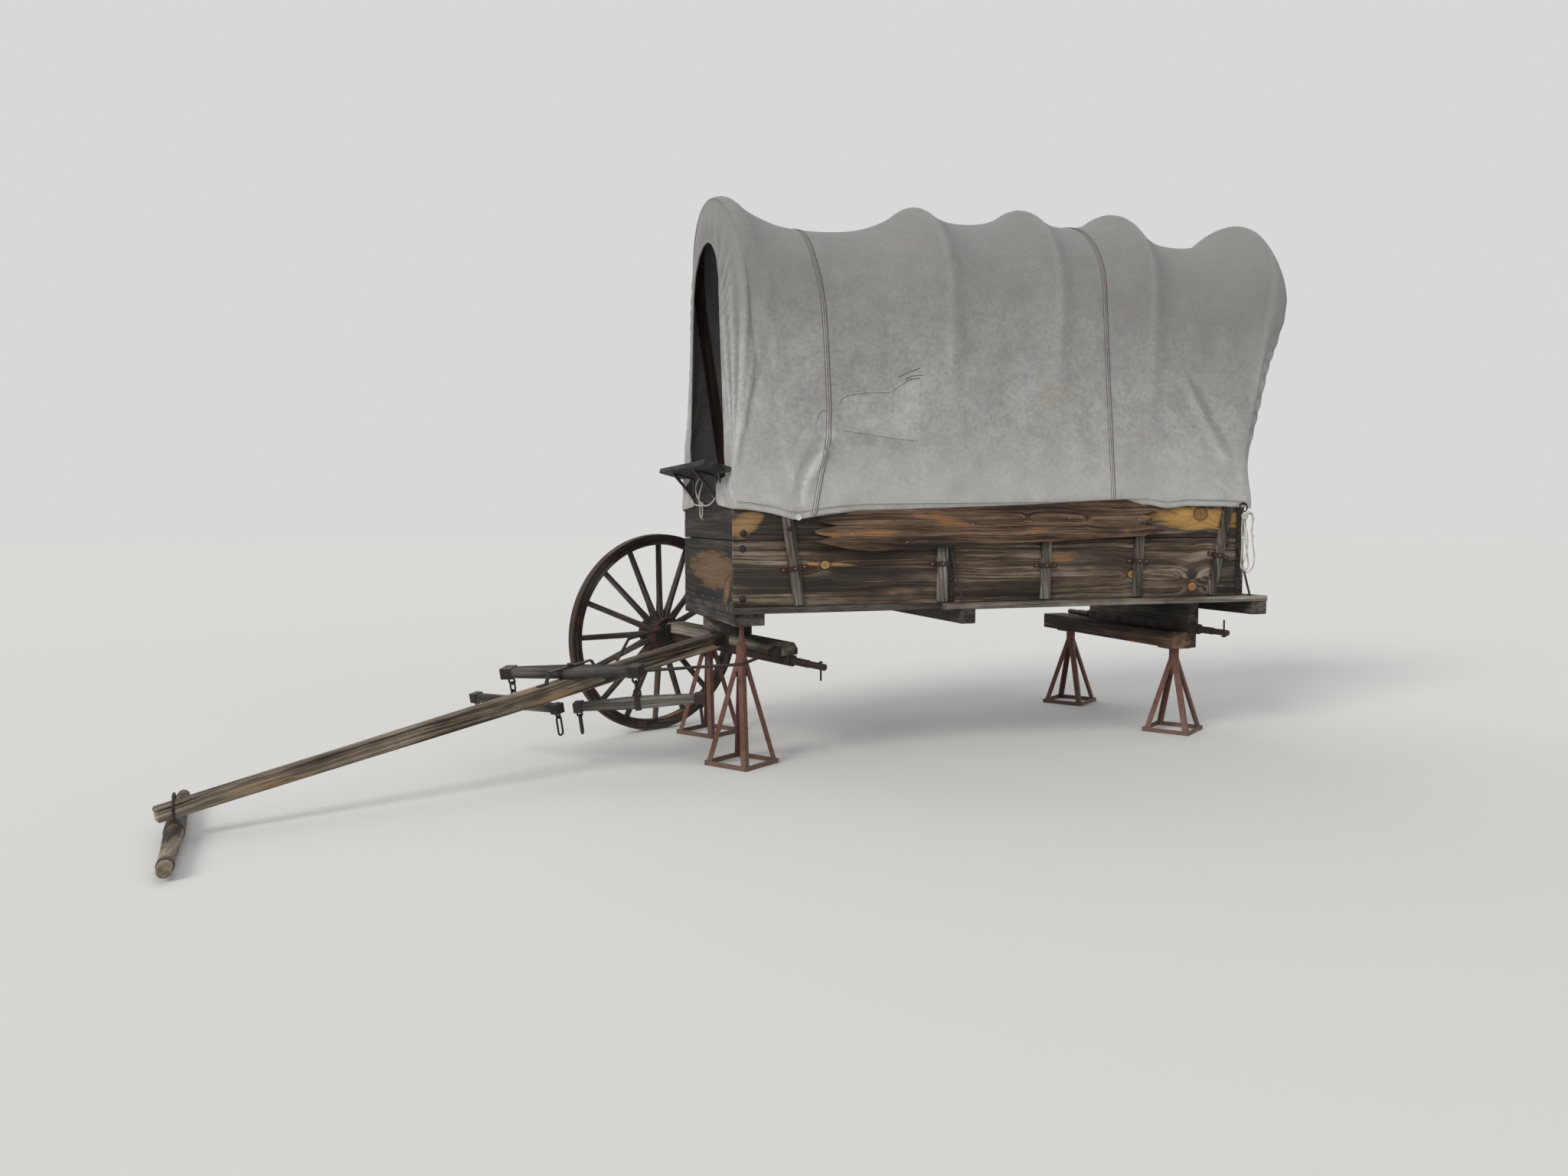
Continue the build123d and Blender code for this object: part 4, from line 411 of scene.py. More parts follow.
M = {
    "side_near": wood(
        "planks_near", straight((0, SIDE, 0), X, Z), GREY, BROWN, DARK, ORANGE, 0.62, split_at=SPLIT,
        knots=[(1.061, 1.021, 0.026, YELLOW), (-1.196, 0.868, 0.030, (0.42, 0.20, 0.075)),
               (-1.194, 0.939, 0.030, (0.045, 0.030, 0.022)), (-0.785, 0.945, 0.026, (0.42, 0.22, 0.08)),
               (-1.243, 1.287, 0.042, (0.30, 0.15, 0.050))],
        patches=[(1.485, 1.232, 0.110, 0.062, -0.5, (0.40, 0.235, 0.100)),
                 (1.05, 1.024, 0.18, 0.011, 0.05, YELLOW),
                 (-1.22, 1.262, 0.33, 0.075, 0.05, (0.58, 0.330, 0.095))],
        stains=[(1.42, 0.95, 0.26, 0.09, 0.0, 0.80), (0.98, 0.945, 0.42, 0.045, -0.10, 0.70),
                (1.28, 1.205, 0.28, 0.09, 0.10, 0.60), (-1.44, 0.95, 0.12, 0.16, 0.0, 0.65),
                (-0.52, 1.05, 0.30, 0.06, 0.08, 0.55), (0.15, 0.88, 0.60, 0.05, 0.0, 0.50)]),
    "side_far": wood(
        "planks_far", straight((0, -SIDE, 0), -X, Z), GREY, BROWN, DARK, ORANGE, 0.64, offset=7.0,
        split_at=SPLIT, knots=[(-0.9, 1.05, 0.026, YELLOW), (0.55, 0.93, 0.03, ORANGE)]),
    "end_boards_front": wood(
        "front_boards", straight((X_FRONT, 0, 0), Y, Z), (0.066, 0.046, 0.032), (0.021, 0.013, 0.009),
        (0.005, 0.004, 0.003), (0.17, 0.08, 0.032), 0.72, split_at=SPLIT,
        patches=[(0.12, 0.985, 0.52, 0.105, 0.0, (0.215, 0.118, 0.055)),
                 (-0.091, 1.256, 0.008, 0.026, 0.0, STAR), (-0.091, 1.256, 0.034, 0.006, 0.0, STAR),
                 (0.40, 0.885, 0.10, 0.045, 0.9, (0.24, 0.13, 0.055))]),
    "end_boards_rear": wood("rear_boards", straight((X_REAR, 0, 0), -Y, Z), GREY, BROWN, DARK, ORANGE, 0.64,
                            offset=3.0, split_at=SPLIT),
    "cleats": wood("cleats", straight((0, 0, 0), Z, X), CLEAT_GREY, CLEAT_BROWN, CLEAT_DARK, ORANGE, 0.70,
                   offset=2.6),
    "floor": wood("floor_boards", straight((0, 0, FLOOR_TOP), X, Y), (0.125, 0.115, 0.10),
                  (0.064, 0.052, 0.042), DARK, ORANGE, 0.70, offset=11.0),
    "rails": wood("rails", straight((0, 0, 0), X, Z), SILVER, (0.240, 0.212, 0.180), (0.050, 0.040, 0.032),
                  (0.34, 0.22, 0.11), 0.70, 0.8, knots=[(0.98, 0.80, 0.016, (0.20, 0.12, 0.06))]),
    "timbers": wood("cross_timbers", straight((0, 0, 0), Y, Z), (0.118, 0.104, 0.088), (0.054, 0.042, 0.032),
                    (0.012, 0.010, 0.008), (0.22, 0.12, 0.05), 0.66),
    "axle_front_timber": wood("axle_timber", straight(GEAR, ALONG, UP), CLEAT_GREY, (0.130, 0.105, 0.080),
                              (0.020, 0.016, 0.012), (0.28, 0.155, 0.07), 0.62),
    "turning_block": wood("turning_block", straight(GEAR, FORWARD, UP), (0.12, 0.10, 0.085),
                          (0.055, 0.042, 0.032), DARK, ORANGE, 0.66),
    "prop_beam": wood("prop_beam", straight((-1.232, 0, 0.6), Y, Z), (0.200, 0.125, 0.075),
                      (0.085, 0.048, 0.027), (0.014, 0.008, 0.006), (0.25, 0.115, 0.038), 0.58, 1.1),
    "bows": wood("bow_wood", straight((0, 0, 0), (0.10, 0, 1), X), (0.300, 0.285, 0.260),
                 (0.130, 0.108, 0.086), (0.028, 0.022, 0.017), (0.26, 0.155, 0.072), 0.68),
    "bow_1": wood("dark_bow_wood", straight((0, 0, 0), (0.145, 0, 1), X), CLEAT_GREY, CLEAT_BROWN, CLEAT_DARK,
                  (0.20, 0.095, 0.04), 0.72, upper=(1.24, 1.50, 0.80, (0.050, 0.024, 0.014))),
    "sign_board": wood(
        "sign_wood", straight((0, CLOTH_OUT + 0.022, 0), X, Z), (0.215, 0.140, 0.088), (0.110, 0.055, 0.027),
        (0.018, 0.010, 0.007), (0.30, 0.130, 0.048), 0.57, 1.4, offset=5.0,
        knots=[(-0.46, 1.262, 0.013, (0.05, 0.026, 0.016)), (-0.09, 1.262, 0.014, (0.06, 0.03, 0.016))]),
    "footboard": wood("footboard_wood", straight((X_FRONT, 0, BOX_TOP), Y, X), (0.072, 0.065, 0.058),
                      (0.024, 0.016, 0.012), (0.006, 0.004, 0.003), (0.11, 0.040, 0.016), 0.62),
    "tongue": wood("tongue_wood", straight(HINGE, POLE, POLE_UP), (0.420, 0.365, 0.290),
                   (0.185, 0.142, 0.100), (0.030, 0.022, 0.016), (0.38, 0.225, 0.110), 0.58, 0.95),
    "doubletree": wood("doubletree_wood", straight((2.334, 0.368, 0.48), DOUBLETREE, POLE_UP),
                       (0.150, 0.142, 0.130), (0.062, 0.052, 0.043), DARK, ORANGE, 0.66),
    "singletree_near": wood("singletree_near_wood", straight((2.056, 0.573, 0.42), NEAR_TREE, POLE_UP),
                            (0.160, 0.148, 0.132), (0.070, 0.056, 0.044), DARK, ORANGE, 0.66),
    "singletree_far": wood("singletree_far_wood", straight((2.606, 0.158, 0.39), FAR_TREE, POLE_UP),
                           (0.150, 0.136, 0.120), (0.066, 0.052, 0.040), DARK, ORANGE, 0.66, offset=4.0),
    "neck_yoke": wood("yoke_wood", straight((3.975, 1.030, 0.0385), YOKE, Z), (0.390, 0.330, 0.250),
                      (0.170, 0.128, 0.088), (0.028, 0.021, 0.015), (0.36, 0.22, 0.11), 0.60),
    "wheel_spokes": wood("spoke_wood", round_hub(0, 1, 2), (0.180, 0.155, 0.132), (0.082, 0.058, 0.042),
                         (0.016, 0.011, 0.009), (0.15, 0.070, 0.035), 0.62),
    "wheel_rim": wood("felloe_wood", round_hub(1, 0, 2), (0.150, 0.128, 0.108), (0.052, 0.036, 0.027),
                      (0.010, 0.008, 0.007), (0.18, 0.09, 0.045), 0.60),
    "wheel_hub": wood("hub_wood", round_hub(2, 1, 0), (0.070, 0.054, 0.043), (0.030, 0.021, 0.016),
                      (0.006, 0.005, 0.004), (0.11, 0.055, 0.03), 0.70),
    "iron": iron("rusty_iron", (0.026, 0.021, 0.019), (0.085, 0.037, 0.022), 0.44),
    "bow_straps": iron("strap_iron", (0.030, 0.019, 0.017), (0.085, 0.034, 0.025), 0.50),
    "wheel_irons": iron("wheel_iron", (0.024, 0.018, 0.016), (0.095, 0.030, 0.020), 0.55),
    "wheel_tyre": iron("tyre_iron", (0.036, 0.027, 0.022), (0.090, 0.048, 0.030), 0.50),
    "axle_iron": iron("axle_iron", (0.026, 0.021, 0.019), (0.085, 0.042, 0.028), 0.46),
    "stand": iron("stand_paint", (0.165, 0.062, 0.046), (0.200, 0.094, 0.068), 0.50, 0.66,
                  (0.040, 0.025, 0.020), 0.1),
    "bright": iron("nail_steel", (0.42, 0.41, 0.40), (0.16, 0.12, 0.09), 0.34, 0.45, None, 0.7),
    "canvas": canvas("canvas"),
    "rope": rope_fibre("rope"),
    "button": thread("button_white", (0.78, 0.775, 0.75)),
    "stitch": thread("stitch_brown", (0.110, 0.058, 0.038)),
}
# A node takes the material of its own name, and these take a shared one
SHARED = {
    "rails": "rail_near rail_far",
    "timbers": "cross_timber_front cross_timber_middle cross_timber_rear bolster_rear",
    "bows": "bow_2 bow_3 bow_4 bow_5",
    "axle_iron": "axle_rear axle_front",
    "stand": "stand_front_near stand_front_far stand_rear_near stand_rear_far",
    "iron": "side_braces footboard_brackets hank_iron tongue_irons tongue_braces hammer_strap "
            "doubletree_irons singletree_near_irons singletree_far_irons yoke_irons",
}
finish_of = {node: node for node in NODES if node in M}
for name, nodes in SHARED.items():
    finish_of.update(dict.fromkeys(nodes.split(), name))
for node, name in finish_of.items():
    slots = NODES[node].data.materials
    slots.clear()
    slots.append(M[name])

# Worn edges on the timbers and boards, by their width in millimetres
EASED = {
    0.8: "bow_straps",
    1.0: "side_braces footboard_brackets",
    2.5: "floor sign_board",
    3.0: "side_near side_far end_boards_front end_boards_rear cleats bow_1 bow_2 bow_3 bow_4 bow_5 footboard",
    4.0: "rail_near rail_far tongue doubletree singletree_near singletree_far",
    5.0: "cross_timber_front cross_timber_middle cross_timber_rear bolster_rear turning_block",
    6.0: "prop_beam axle_front_timber",
}
SHARP = math.radians(38)
for size, nodes in EASED.items():
    for node in nodes.split():
        weld = NODES[node].modifiers.new("joined", "WELD")
        weld.merge_threshold = 0.00002
        eased = NODES[node].modifiers.new("worn", "BEVEL")
        eased.width = size / 1000
        eased.segments = 2
        eased.limit_method = "ANGLE"
        eased.angle_limit = SHARP
        eased.use_clamp_overlap = True


# Every piece of the scene's own rides on the wagon's body

def piece(name, points, faces, material):
    mesh = bpy.data.meshes.new(name)
    mesh.from_pydata([tuple(p) for p in points], [], faces)
    mesh.validate()
    mesh.materials.append(material)
    made = placed(name, mesh)
    mesh.polygons.foreach_set("use_smooth", [True] * len(mesh.polygons))
    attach(made, "wagon")
    return made


# Cover: one sheet from the drawn arch in front, over the bows and the hollows between, to the rear edge

CLOTH_THICKNESS = 0.0016
CLOTH_MIDDLE = CLOTH_OUT - 0.0012
# How far the cloth stands off each bow's edges and top
OFF_EDGE = 0.001
OFF_TOP = 0.002
FACE_X = 1.5525
EDGE_X = FACE_X - 0.003
FLAP_X = 1.5575
FOLD_TOP = 1.473
FLAP_FOOT = 1.306
ARCH_FOOT = 0.392
ARCH_SHOULDER = 0.280
ARCH_SHOULDER_Z = 2.430
ARCH_TOP = 2.728
ROWS = 190
FRONT_GAP = 0.008
SIDE_GAP = 0.021
# Places along each span between two bows, and how far the cloth has sunk there
SPAN_AT = (0.05, 0.12, 0.24, 0.40, 0.60, 0.76, 0.88, 0.95)
SINK = (0.150, 0.078, 0.076, 0.150)
DRAWN = (0.020, 0.014, 0.013, 0.020)
REAR_DRAWN = 0.094
# How far inside its sharp corner a round one runs, as a share of its radius
CUT_CORNER = 0.293
# The hem's height at each x, from the rear
HEM_LINE = [
    (-1.60, 1.319), (-1.39, 1.329), (-1.13, 1.331), (-1.0, 1.316), (-0.88, 1.334), (-0.70, 1.330),
    (-0.30, 1.312), (0.40, 1.303), (0.85, 1.297), (1.057, 1.279), (1.192, 1.257), (1.238, 1.252),
    (1.337, 1.281), (1.455, 1.300), (1.55, 1.306), (1.60, 1.306)]
# The crest where the side turns into the front, its x at each height
CREST_TOP = 2.930
CREST = [(1.306, 1.5575), (1.500, 1.5570), (1.600, 1.5500), (1.850, 1.5180), (2.150, 1.4960), (2.450, 1.4950),
         (2.700, 1.5050), (2.860, 1.5300), (CREST_TOP, 1.5500)]
# The flaps' inner edges from the hem up: share, y, z
NEAR_FLAP = [(0.0, 0.257, 1.330), (0.2, 0.229, 1.350), (0.45, 0.219, 1.385), (0.75, 0.226, 1.437),
             (1.0, 0.262, 1.461)]
FAR_FLAP = [(0.0, 0.262, 1.326), (0.3, 0.262, 1.349), (0.65, 0.361, 1.388), (1.0, 0.500, 1.452)]


def smooth(value, low, high):
    t = np.clip((value - low) / (high - low), 0, 1)
    return t * t * (3 - 2 * t)


def hem_at(x):
    return np.interp(x, *zip(*HEM_LINE))


def lean_of(index):
    return (BOW_CROWN[index] - BOW_BASE[index]) / (BOW_TOP[index] - FLOOR_TOP)


def over_bow(index, edge):
    """The section at a bow's front edge (1) or rear edge (-1): x at the hem, x and z at the crown, half its
    width, and how far it draws in."""
    lean = lean_of(index)
    slant = math.hypot(1, lean)
    shift = edge * (BOW_WIDTH / 2 + OFF_EDGE)
    return np.array((BOW_BASE[index] + lean * (HEM - FLOOR_TOP) + shift * slant,
                     BOW_CROWN[index] + (OFF_TOP * lean + shift) / slant,
                     BOW_TOP[index] + (OFF_TOP - shift * lean) / slant, CLOTH_MIDDLE, 0.0))


def section_points(section):
    """The section's points, row by row from the near hem to the far one."""
    even = np.linspace(0, 1, ROWS)
    spread = even - 0.075 * np.sin(2 * np.pi * even)
    base_x, crown_x, crown_z, half, drawn = section
    climb = Vector((crown_x - base_x, 0, crown_z - HEM))
    length = climb.length
    climb.normalize()
    shoulder = length - half
    low = hem_at(base_x) - HEM
    straight_run = shoulder - low
    total = 2 * straight_run + math.pi * half
    walk = spread * total
    angle = np.clip((walk - straight_run) / half, 0, math.pi)
    y = half * np.cos(angle)
    rise = shoulder + half * np.sin(angle)
    rise = np.where(walk < straight_run, low + walk, rise)
    rise = np.where(walk > total - straight_run, low + total - walk, rise)
    inward = drawn * np.sin(np.pi * np.clip(2 * np.minimum(spread, 1 - spread), 0, 1)) ** 1.3
    y = y - inward * np.cos(angle)
    rise = rise - inward * np.sin(angle)
    return np.stack([base_x + climb.x * rise, y, HEM + climb.z * rise], 1)


def spline_through(knots, values, at):
    """Natural cubic through values (n, m, 3) at increasing knots, read at the places in at."""
    n = len(knots)
    h = np.diff(knots)
    matrix = np.zeros((n, n))
    matrix[0, 0] = matrix[-1, -1] = 1.0
    right = np.zeros((n,) + values.shape[1:])
    for i in range(1, n - 1):
        matrix[i, i - 1:i + 2] = h[i - 1], 2 * (h[i - 1] + h[i]), h[i]
        right[i] = 6 * ((values[i + 1] - values[i]) / h[i] - (values[i] - values[i - 1]) / h[i - 1])
    bend = np.linalg.solve(matrix, right.reshape(n, -1)).reshape(right.shape)
    k = np.clip(np.searchsorted(knots, at, side="right") - 1, 0, n - 2)
    a = (knots[k + 1] - at)[:, None, None]
    b = (at - knots[k])[:, None, None]
    hk = h[k][:, None, None]
    return ((bend[k] * a ** 3 + bend[k + 1] * b ** 3) / (6 * hk) + (values[k] / hk - bend[k] * hk / 6) * a
            + (values[k + 1] / hk - bend[k + 1] * hk / 6) * b)


def arch_ring(crest):
    """For each point of the crest its partner on the arch's edge, or on the flap's below the footboard."""
    ring = np.empty_like(crest)
    shoulder = crest[:, 2].max() - CLOTH_MIDDLE
    for j, (_, y, z) in enumerate(crest):
        side = 1 if j < ROWS / 2 else -1
        if z < FOLD_TOP:
            share, flap_y, flap_z = zip(*(NEAR_FLAP if side == 1 else FAR_FLAP))
            t = (z - FLAP_FOOT) / (FOLD_TOP - FLAP_FOOT)
            ring[j] = FLAP_X, side * np.interp(t, share, flap_y), np.interp(t, share, flap_z)
        elif z < shoulder:
            t = (z - FOLD_TOP) / (shoulder - FOLD_TOP)
            ring[j] = (EDGE_X, side * (ARCH_FOOT + (ARCH_SHOULDER - ARCH_FOOT) * t),
                       FOLD_TOP + (ARCH_SHOULDER_Z - FOLD_TOP) * t)
        else:
            angle = math.atan2(z - shoulder, y)
            ring[j] = (EDGE_X, ARCH_SHOULDER * math.cos(angle),
                       ARCH_SHOULDER_Z + (ARCH_TOP - ARCH_SHOULDER_Z) * math.sin(angle))
    return ring


def towards(start, end):
    way = end - start
    return way / (np.linalg.norm(way, axis=1, keepdims=True) + 1e-9)


def front_stations():
    """The arch's edge, the front face, the rounded crest, and the side up to the first bow."""
    crest = section_points((FACE_X, FACE_X, CREST_TOP, CLOTH_MIDDLE, 0.0))
    heights, places = zip(*CREST)
    crest[:, 0] = np.interp(crest[:, 2], heights, places)
    first_bow = section_points(over_bow(0, 1))
    ring = arch_ring(crest)
    inward = towards(crest, ring)
    back = towards(crest, first_bow)
    gap = np.linalg.norm(first_bow - crest, axis=1, keepdims=True)
    radius = np.minimum(0.012 + 0.022 * smooth(crest[:, 2:], 1.48, 1.70), 0.35 * gap)
    face = [ring + (crest + inward * radius - ring) * share for share in (0.0, 0.07, 0.35, 0.70, 1.0)]
    belly = 0.007 * smooth(crest[:, 2], 1.56, 1.80)
    face[2][:, 0] += belly
    face[3][:, 0] += belly
    turn = crest + (inward + back) * radius * CUT_CORNER
    side = crest + back * radius
    middle = (side + first_bow) / 2
    middle[:, 1] -= np.sign(middle[:, 1]) * 0.004
    return face + [turn, side, middle]


stations = front_stations()
CREST_STATION = 5
bow_stations = []
for bow in range(5):
    bow_stations.append(len(stations))
    stations.append(section_points(over_bow(bow, 1)))
    stations.append(section_points(over_bow(bow, -1)))
    if bow < 4:
        start = over_bow(bow, -1)
        end = over_bow(bow + 1, 1)
        for share in SPAN_AT:
            sag = 1 - (1 - min(2 * share, 2 - 2 * share)) ** 2.6
            section = start + (end - start) * share
            section[2] -= SINK[bow] * sag
            section[4] = DRAWN[bow] * sag
            stations.append(section_points(section))
# Behind the last bow the cloth's edges are drawn forward, down to the box's corners
for section, share in (((-1.550, -1.890, 2.950, CLOTH_MIDDLE - 0.003, 0.0), 0.9),
                       ((-1.585, -1.935, 2.700, CLOTH_MIDDLE - 0.022, 0.0), 1.0)):
    rear_edge = section_points(section)
    height = rear_edge[:, 2]
    rear_edge[:, 0] += share * REAR_DRAWN * smooth(height, 1.31, 1.64) * (1 - smooth(height, 2.10, 2.62))
    stations.append(rear_edge)
stations = np.stack(stations)
steps = np.linalg.norm(np.diff(stations, axis=0), axis=2)
knots = np.concatenate([[0], np.cumsum(steps.mean(1))])
columns = [knots[0]]
for k in range(len(knots) - 1):
    gap = FRONT_GAP if k < CREST_STATION + 2 else SIDE_GAP
    count = max(1, int(round((knots[k + 1] - knots[k]) / gap)))
    columns.extend(np.linspace(knots[k], knots[k + 1], count + 1)[1:])
columns = np.array(columns)
crest_column = int(np.searchsorted(columns, knots[CREST_STATION]))
cover = spline_through(knots, stations, columns)
# The low rows ease on to the hem line at each column's own place
HEM_ROWS = 30
for first, way, ripple in ((0, 1, 0.0), (ROWS - 1, -1, 0.004)):
    x = cover[crest_column:, first, 0]
    miss = hem_at(x) + ripple * np.sin(7.0 * x) - cover[crest_column:, first, 2]
    for k in range(HEM_ROWS):
        cover[crest_column:, first + way * k, 2] += miss * (1 - k / HEM_ROWS) ** 2


def normals_of(points):
    du = np.gradient(points, axis=0)
    dv = np.gradient(points, axis=1)
    n = np.cross(dv, du)
    n /= np.linalg.norm(n, axis=2, keepdims=True) + 1e-12
    middle = n[n.shape[0] // 2, n.shape[1] // 2]
    return n if middle[2] > 0 else -n


def from_run(x, z, start, end):
    """The share of a run from start to end where each point is nearest to it, and how far off it is."""
    (ax, az), (bx, bz) = start, end
    t = np.clip(((x - ax) * (bx - ax) + (z - az) * (bz - az)) / math.dist(start, end) ** 2, 0, 1)
    return t, np.hypot(x - ax - t * (bx - ax), z - az - t * (bz - az))


def crease(x, z, path, width, height):
    """A soft ridge (or hollow, if height is negative) along a path of (x, z) points, fading at its ends."""
    best = np.full(x.shape, 1e9)
    share = np.zeros(x.shape)
    lengths = [math.dist(a, b) for a, b in zip(path, path[1:])]
    total = sum(lengths)
    done = 0.0
    for start, end, length in zip(path, path[1:], lengths):
        t, away = from_run(x, z, start, end)
        closer = away < best
        best = np.where(closer, away, best)
        share = np.where(closer, (done + t * length) / total, share)
        done += length
    fade = np.sin(np.pi * np.clip(share * 0.92 + 0.04, 0, 1)) ** 0.7
    return height * np.exp(-(best / width) ** 2) * fade


def wave(x, z, seed, scale_x, scale_z):
    """A smooth seeded wander in x and z."""
    rng = random.Random(seed)
    total = np.zeros(x.shape)
    for _ in range(5):
        a, b, c = rng.uniform(0.5, 1.5), rng.uniform(-1.0, 1.0), rng.uniform(0, 6.28)
        total += np.sin(x * scale_x * a + z * scale_z * b + c)
    return total / 5


BUTTON = (1.212, 1.264)
SIDE_CREASES = [
    ([BUTTON, (1.174, 1.439), (1.072, 1.590), (1.030, 1.70)], 0.020, 0.015),
    ([BUTTON, (1.215, 1.420), (1.150, 1.600)], 0.022, -0.012),
    ([BUTTON, (1.30, 1.335), (1.42, 1.36)], 0.018, 0.006),
    ([BUTTON, (1.33, 1.300), (1.50, 1.305)], 0.012, 0.004),
    ([BUTTON, (1.25, 1.42), (1.30, 1.62), (1.33, 1.85)], 0.026, 0.006),
    ([BUTTON, (1.10, 1.315), (0.98, 1.34)], 0.014, 0.004),
    ([(1.470, 2.10), (1.490, 1.90), (1.512, 1.716), (1.545, 1.54)], 0.016, 0.009),
    ([(1.430, 2.10), (1.455, 1.90), (1.485, 1.716), (1.530, 1.54)], 0.020, -0.009),
    ([(1.374, 2.29), (1.352, 2.126), (1.330, 1.95)], 0.022, 0.004),
    ([(-1.146, 2.059), (-1.290, 1.84), (-1.431, 1.629)], 0.024, -0.012),
    ([(-1.100, 2.03), (-1.245, 1.80), (-1.390, 1.57)], 0.024, 0.007),
    ([(-1.466, 1.503), (-1.564, 1.363)], 0.012, -0.008),
    ([(-1.535, 1.345), (-1.44, 1.40), (-1.30, 1.50)], 0.013, 0.006),
    ([(-1.535, 1.345), (-1.50, 1.47), (-1.47, 1.62)], 0.013, 0.006),
    ([(-1.535, 1.345), (-1.40, 1.365), (-1.20, 1.385)], 0.012, 0.004),
]


def folds(points):
    """How far each point of the sheet stands out from the plain surface."""
    x, y, z = points[..., 0], points[..., 1], points[..., 2]
    gaps = np.linalg.norm(np.diff(points, axis=0), axis=2)
    walk = np.concatenate([np.zeros((1, ROWS)), np.cumsum(gaps, axis=0)])
    behind = walk - walk[crest_column]
    near = smooth(y, -0.02, 0.20)
    far = 1 - near
    out = np.zeros_like(x)
    # Long folds that gather from the arch down to the corner over the footboard
    for mask, seed in ((near, 3), (far, 9)):
        angle = np.arctan2(-behind, np.maximum(z - 1.50, 0.02))
        reach = np.hypot(behind, z - 1.50)
        spread = smooth(angle, -0.22, -0.02) * (1 - smooth(reach, 0.55, 1.25))
        swing = angle * 46 + 1.3 * wave(x, z, seed, 9, 3)
        fold = 0.55 * np.sin(swing) + 0.45 * (1 - 2 * np.abs(np.sin(swing / 2)))
        out += mask * spread * smooth(reach, 0.05, 0.25) * smooth(walk, -0.005, 0.05) * 0.0110 * fold
    # Puckers along the drawn arch, and finer ones beside its hem
    turn = np.arctan2(y, z - 2.10)
    arch = smooth(z, 1.75, 2.3)
    inner = smooth(walk, -0.01, 0.045)
    out += arch * inner * (1 - smooth(walk, 0.05, 0.19)) * 0.0060 * np.sin(turn * 40 + 2.0 * np.sin(turn * 7))
    fine = 0.0014 * np.sin(turn * 97 + np.sin(turn * 13))
    out += smooth(z, 1.55, 1.7) * inner * (1 - smooth(walk, 0.03, 0.07)) * fine
    # Puckers along the rear edge
    to_rear = columns[-1] - columns[:, None]
    flutter = 0.003 * np.sin(turn * 38 + np.sin(turn * 9))
    out += (1 - smooth(to_rear, 0.02, 0.14)) * smooth(z, 1.45, 1.8) * flutter
    for path, width, height in SIDE_CREASES:
        out += near * crease(x, z, path, width, height)
        mirrored = [(px + 0.03 * math.sin(9 * pz), pz + 0.02) for px, pz in path]
        out += far * crease(x, z, mirrored, width * 1.1, 0.8 * height)
    # Soft unevenness of the hanging cloth
    hang = 1 - smooth(z, 2.2, 2.9)
    out += 0.0032 * wave(x, z, 21, 6.0, 4.0) * hang + 0.0015 * wave(x, z, 22, 19.0, 7.0) * hang
    out += 0.0022 * (1 - smooth(z, 1.34, 1.46)) * wave(x, z, 5, 34.0, 4.0)
    out *= smooth(z, 1.25, 1.42) * 0.75 + 0.25
    # Tight over each bow, and never pushed into the box
    tight = np.zeros(len(columns))
    for station in bow_stations:
        middle = (knots[station] + knots[station + 1]) / 2
        tight = np.maximum(tight, np.exp(-((columns - middle) / 0.050) ** 2))
    tight = tight[:, None] * smooth(z, 1.0, 1.3)
    out = np.where(out < 0, out * (1 - tight), out * (1 - 0.6 * tight))
    low_rows = 1 - smooth(z, 1.42, 1.52)
    out = np.where(out < 0, out * (1 - low_rows), out)
    # The flaps: wrinkles that run to where the rope pulls them
    flap = (1 - smooth(behind, -0.02, 0.0)) * (1 - smooth(z, 1.44, 1.475))
    pull_y = np.where(y > 0, 0.16, 0.20)
    pull_z = np.where(y > 0, 1.372, 1.338)
    pull = np.arctan2(z - pull_z, np.abs(y) - pull_y)
    wrinkle = 0.5 + 0.5 * np.sin(pull * 17 + 1.5 * wave(y, z, 31, 14.0, 9.0))
    out = out * (1 - flap) + flap * 0.0065 * wrinkle * smooth(walk, 0.0, 0.06)
    # Behind the footboard's back edge the face stays flat
    held = (1 - smooth(behind, -0.02, 0.0)) * (1 - smooth(np.abs(z - 1.50), 0.028, 0.075))
    return out * (1 - held)


PATCH = [(0.545, 1.665), (0.981, 1.714), (0.985, 1.850), (0.940, 1.895), (0.700, 1.918), (0.600, 1.985),
         (0.545, 1.990)]


def inside(x, z, outline, soft):
    """How far (0 to 1) a point is inside an outline of (x, z) corners, with a soft edge."""
    within = np.zeros(x.shape, bool)
    away = np.full(x.shape, 1e9)
    for (ax, az), (bx, bz) in zip(outline, outline[1:] + outline[:1]):
        away = np.minimum(away, from_run(x, z, (ax, az), (bx, bz))[1])
        if az != bz:
            within ^= ((az > z) != (bz > z)) & (x < (bx - ax) * (z - az) / (bz - az) + ax)
    return np.where(within, smooth(away, 0, soft), 0.0)


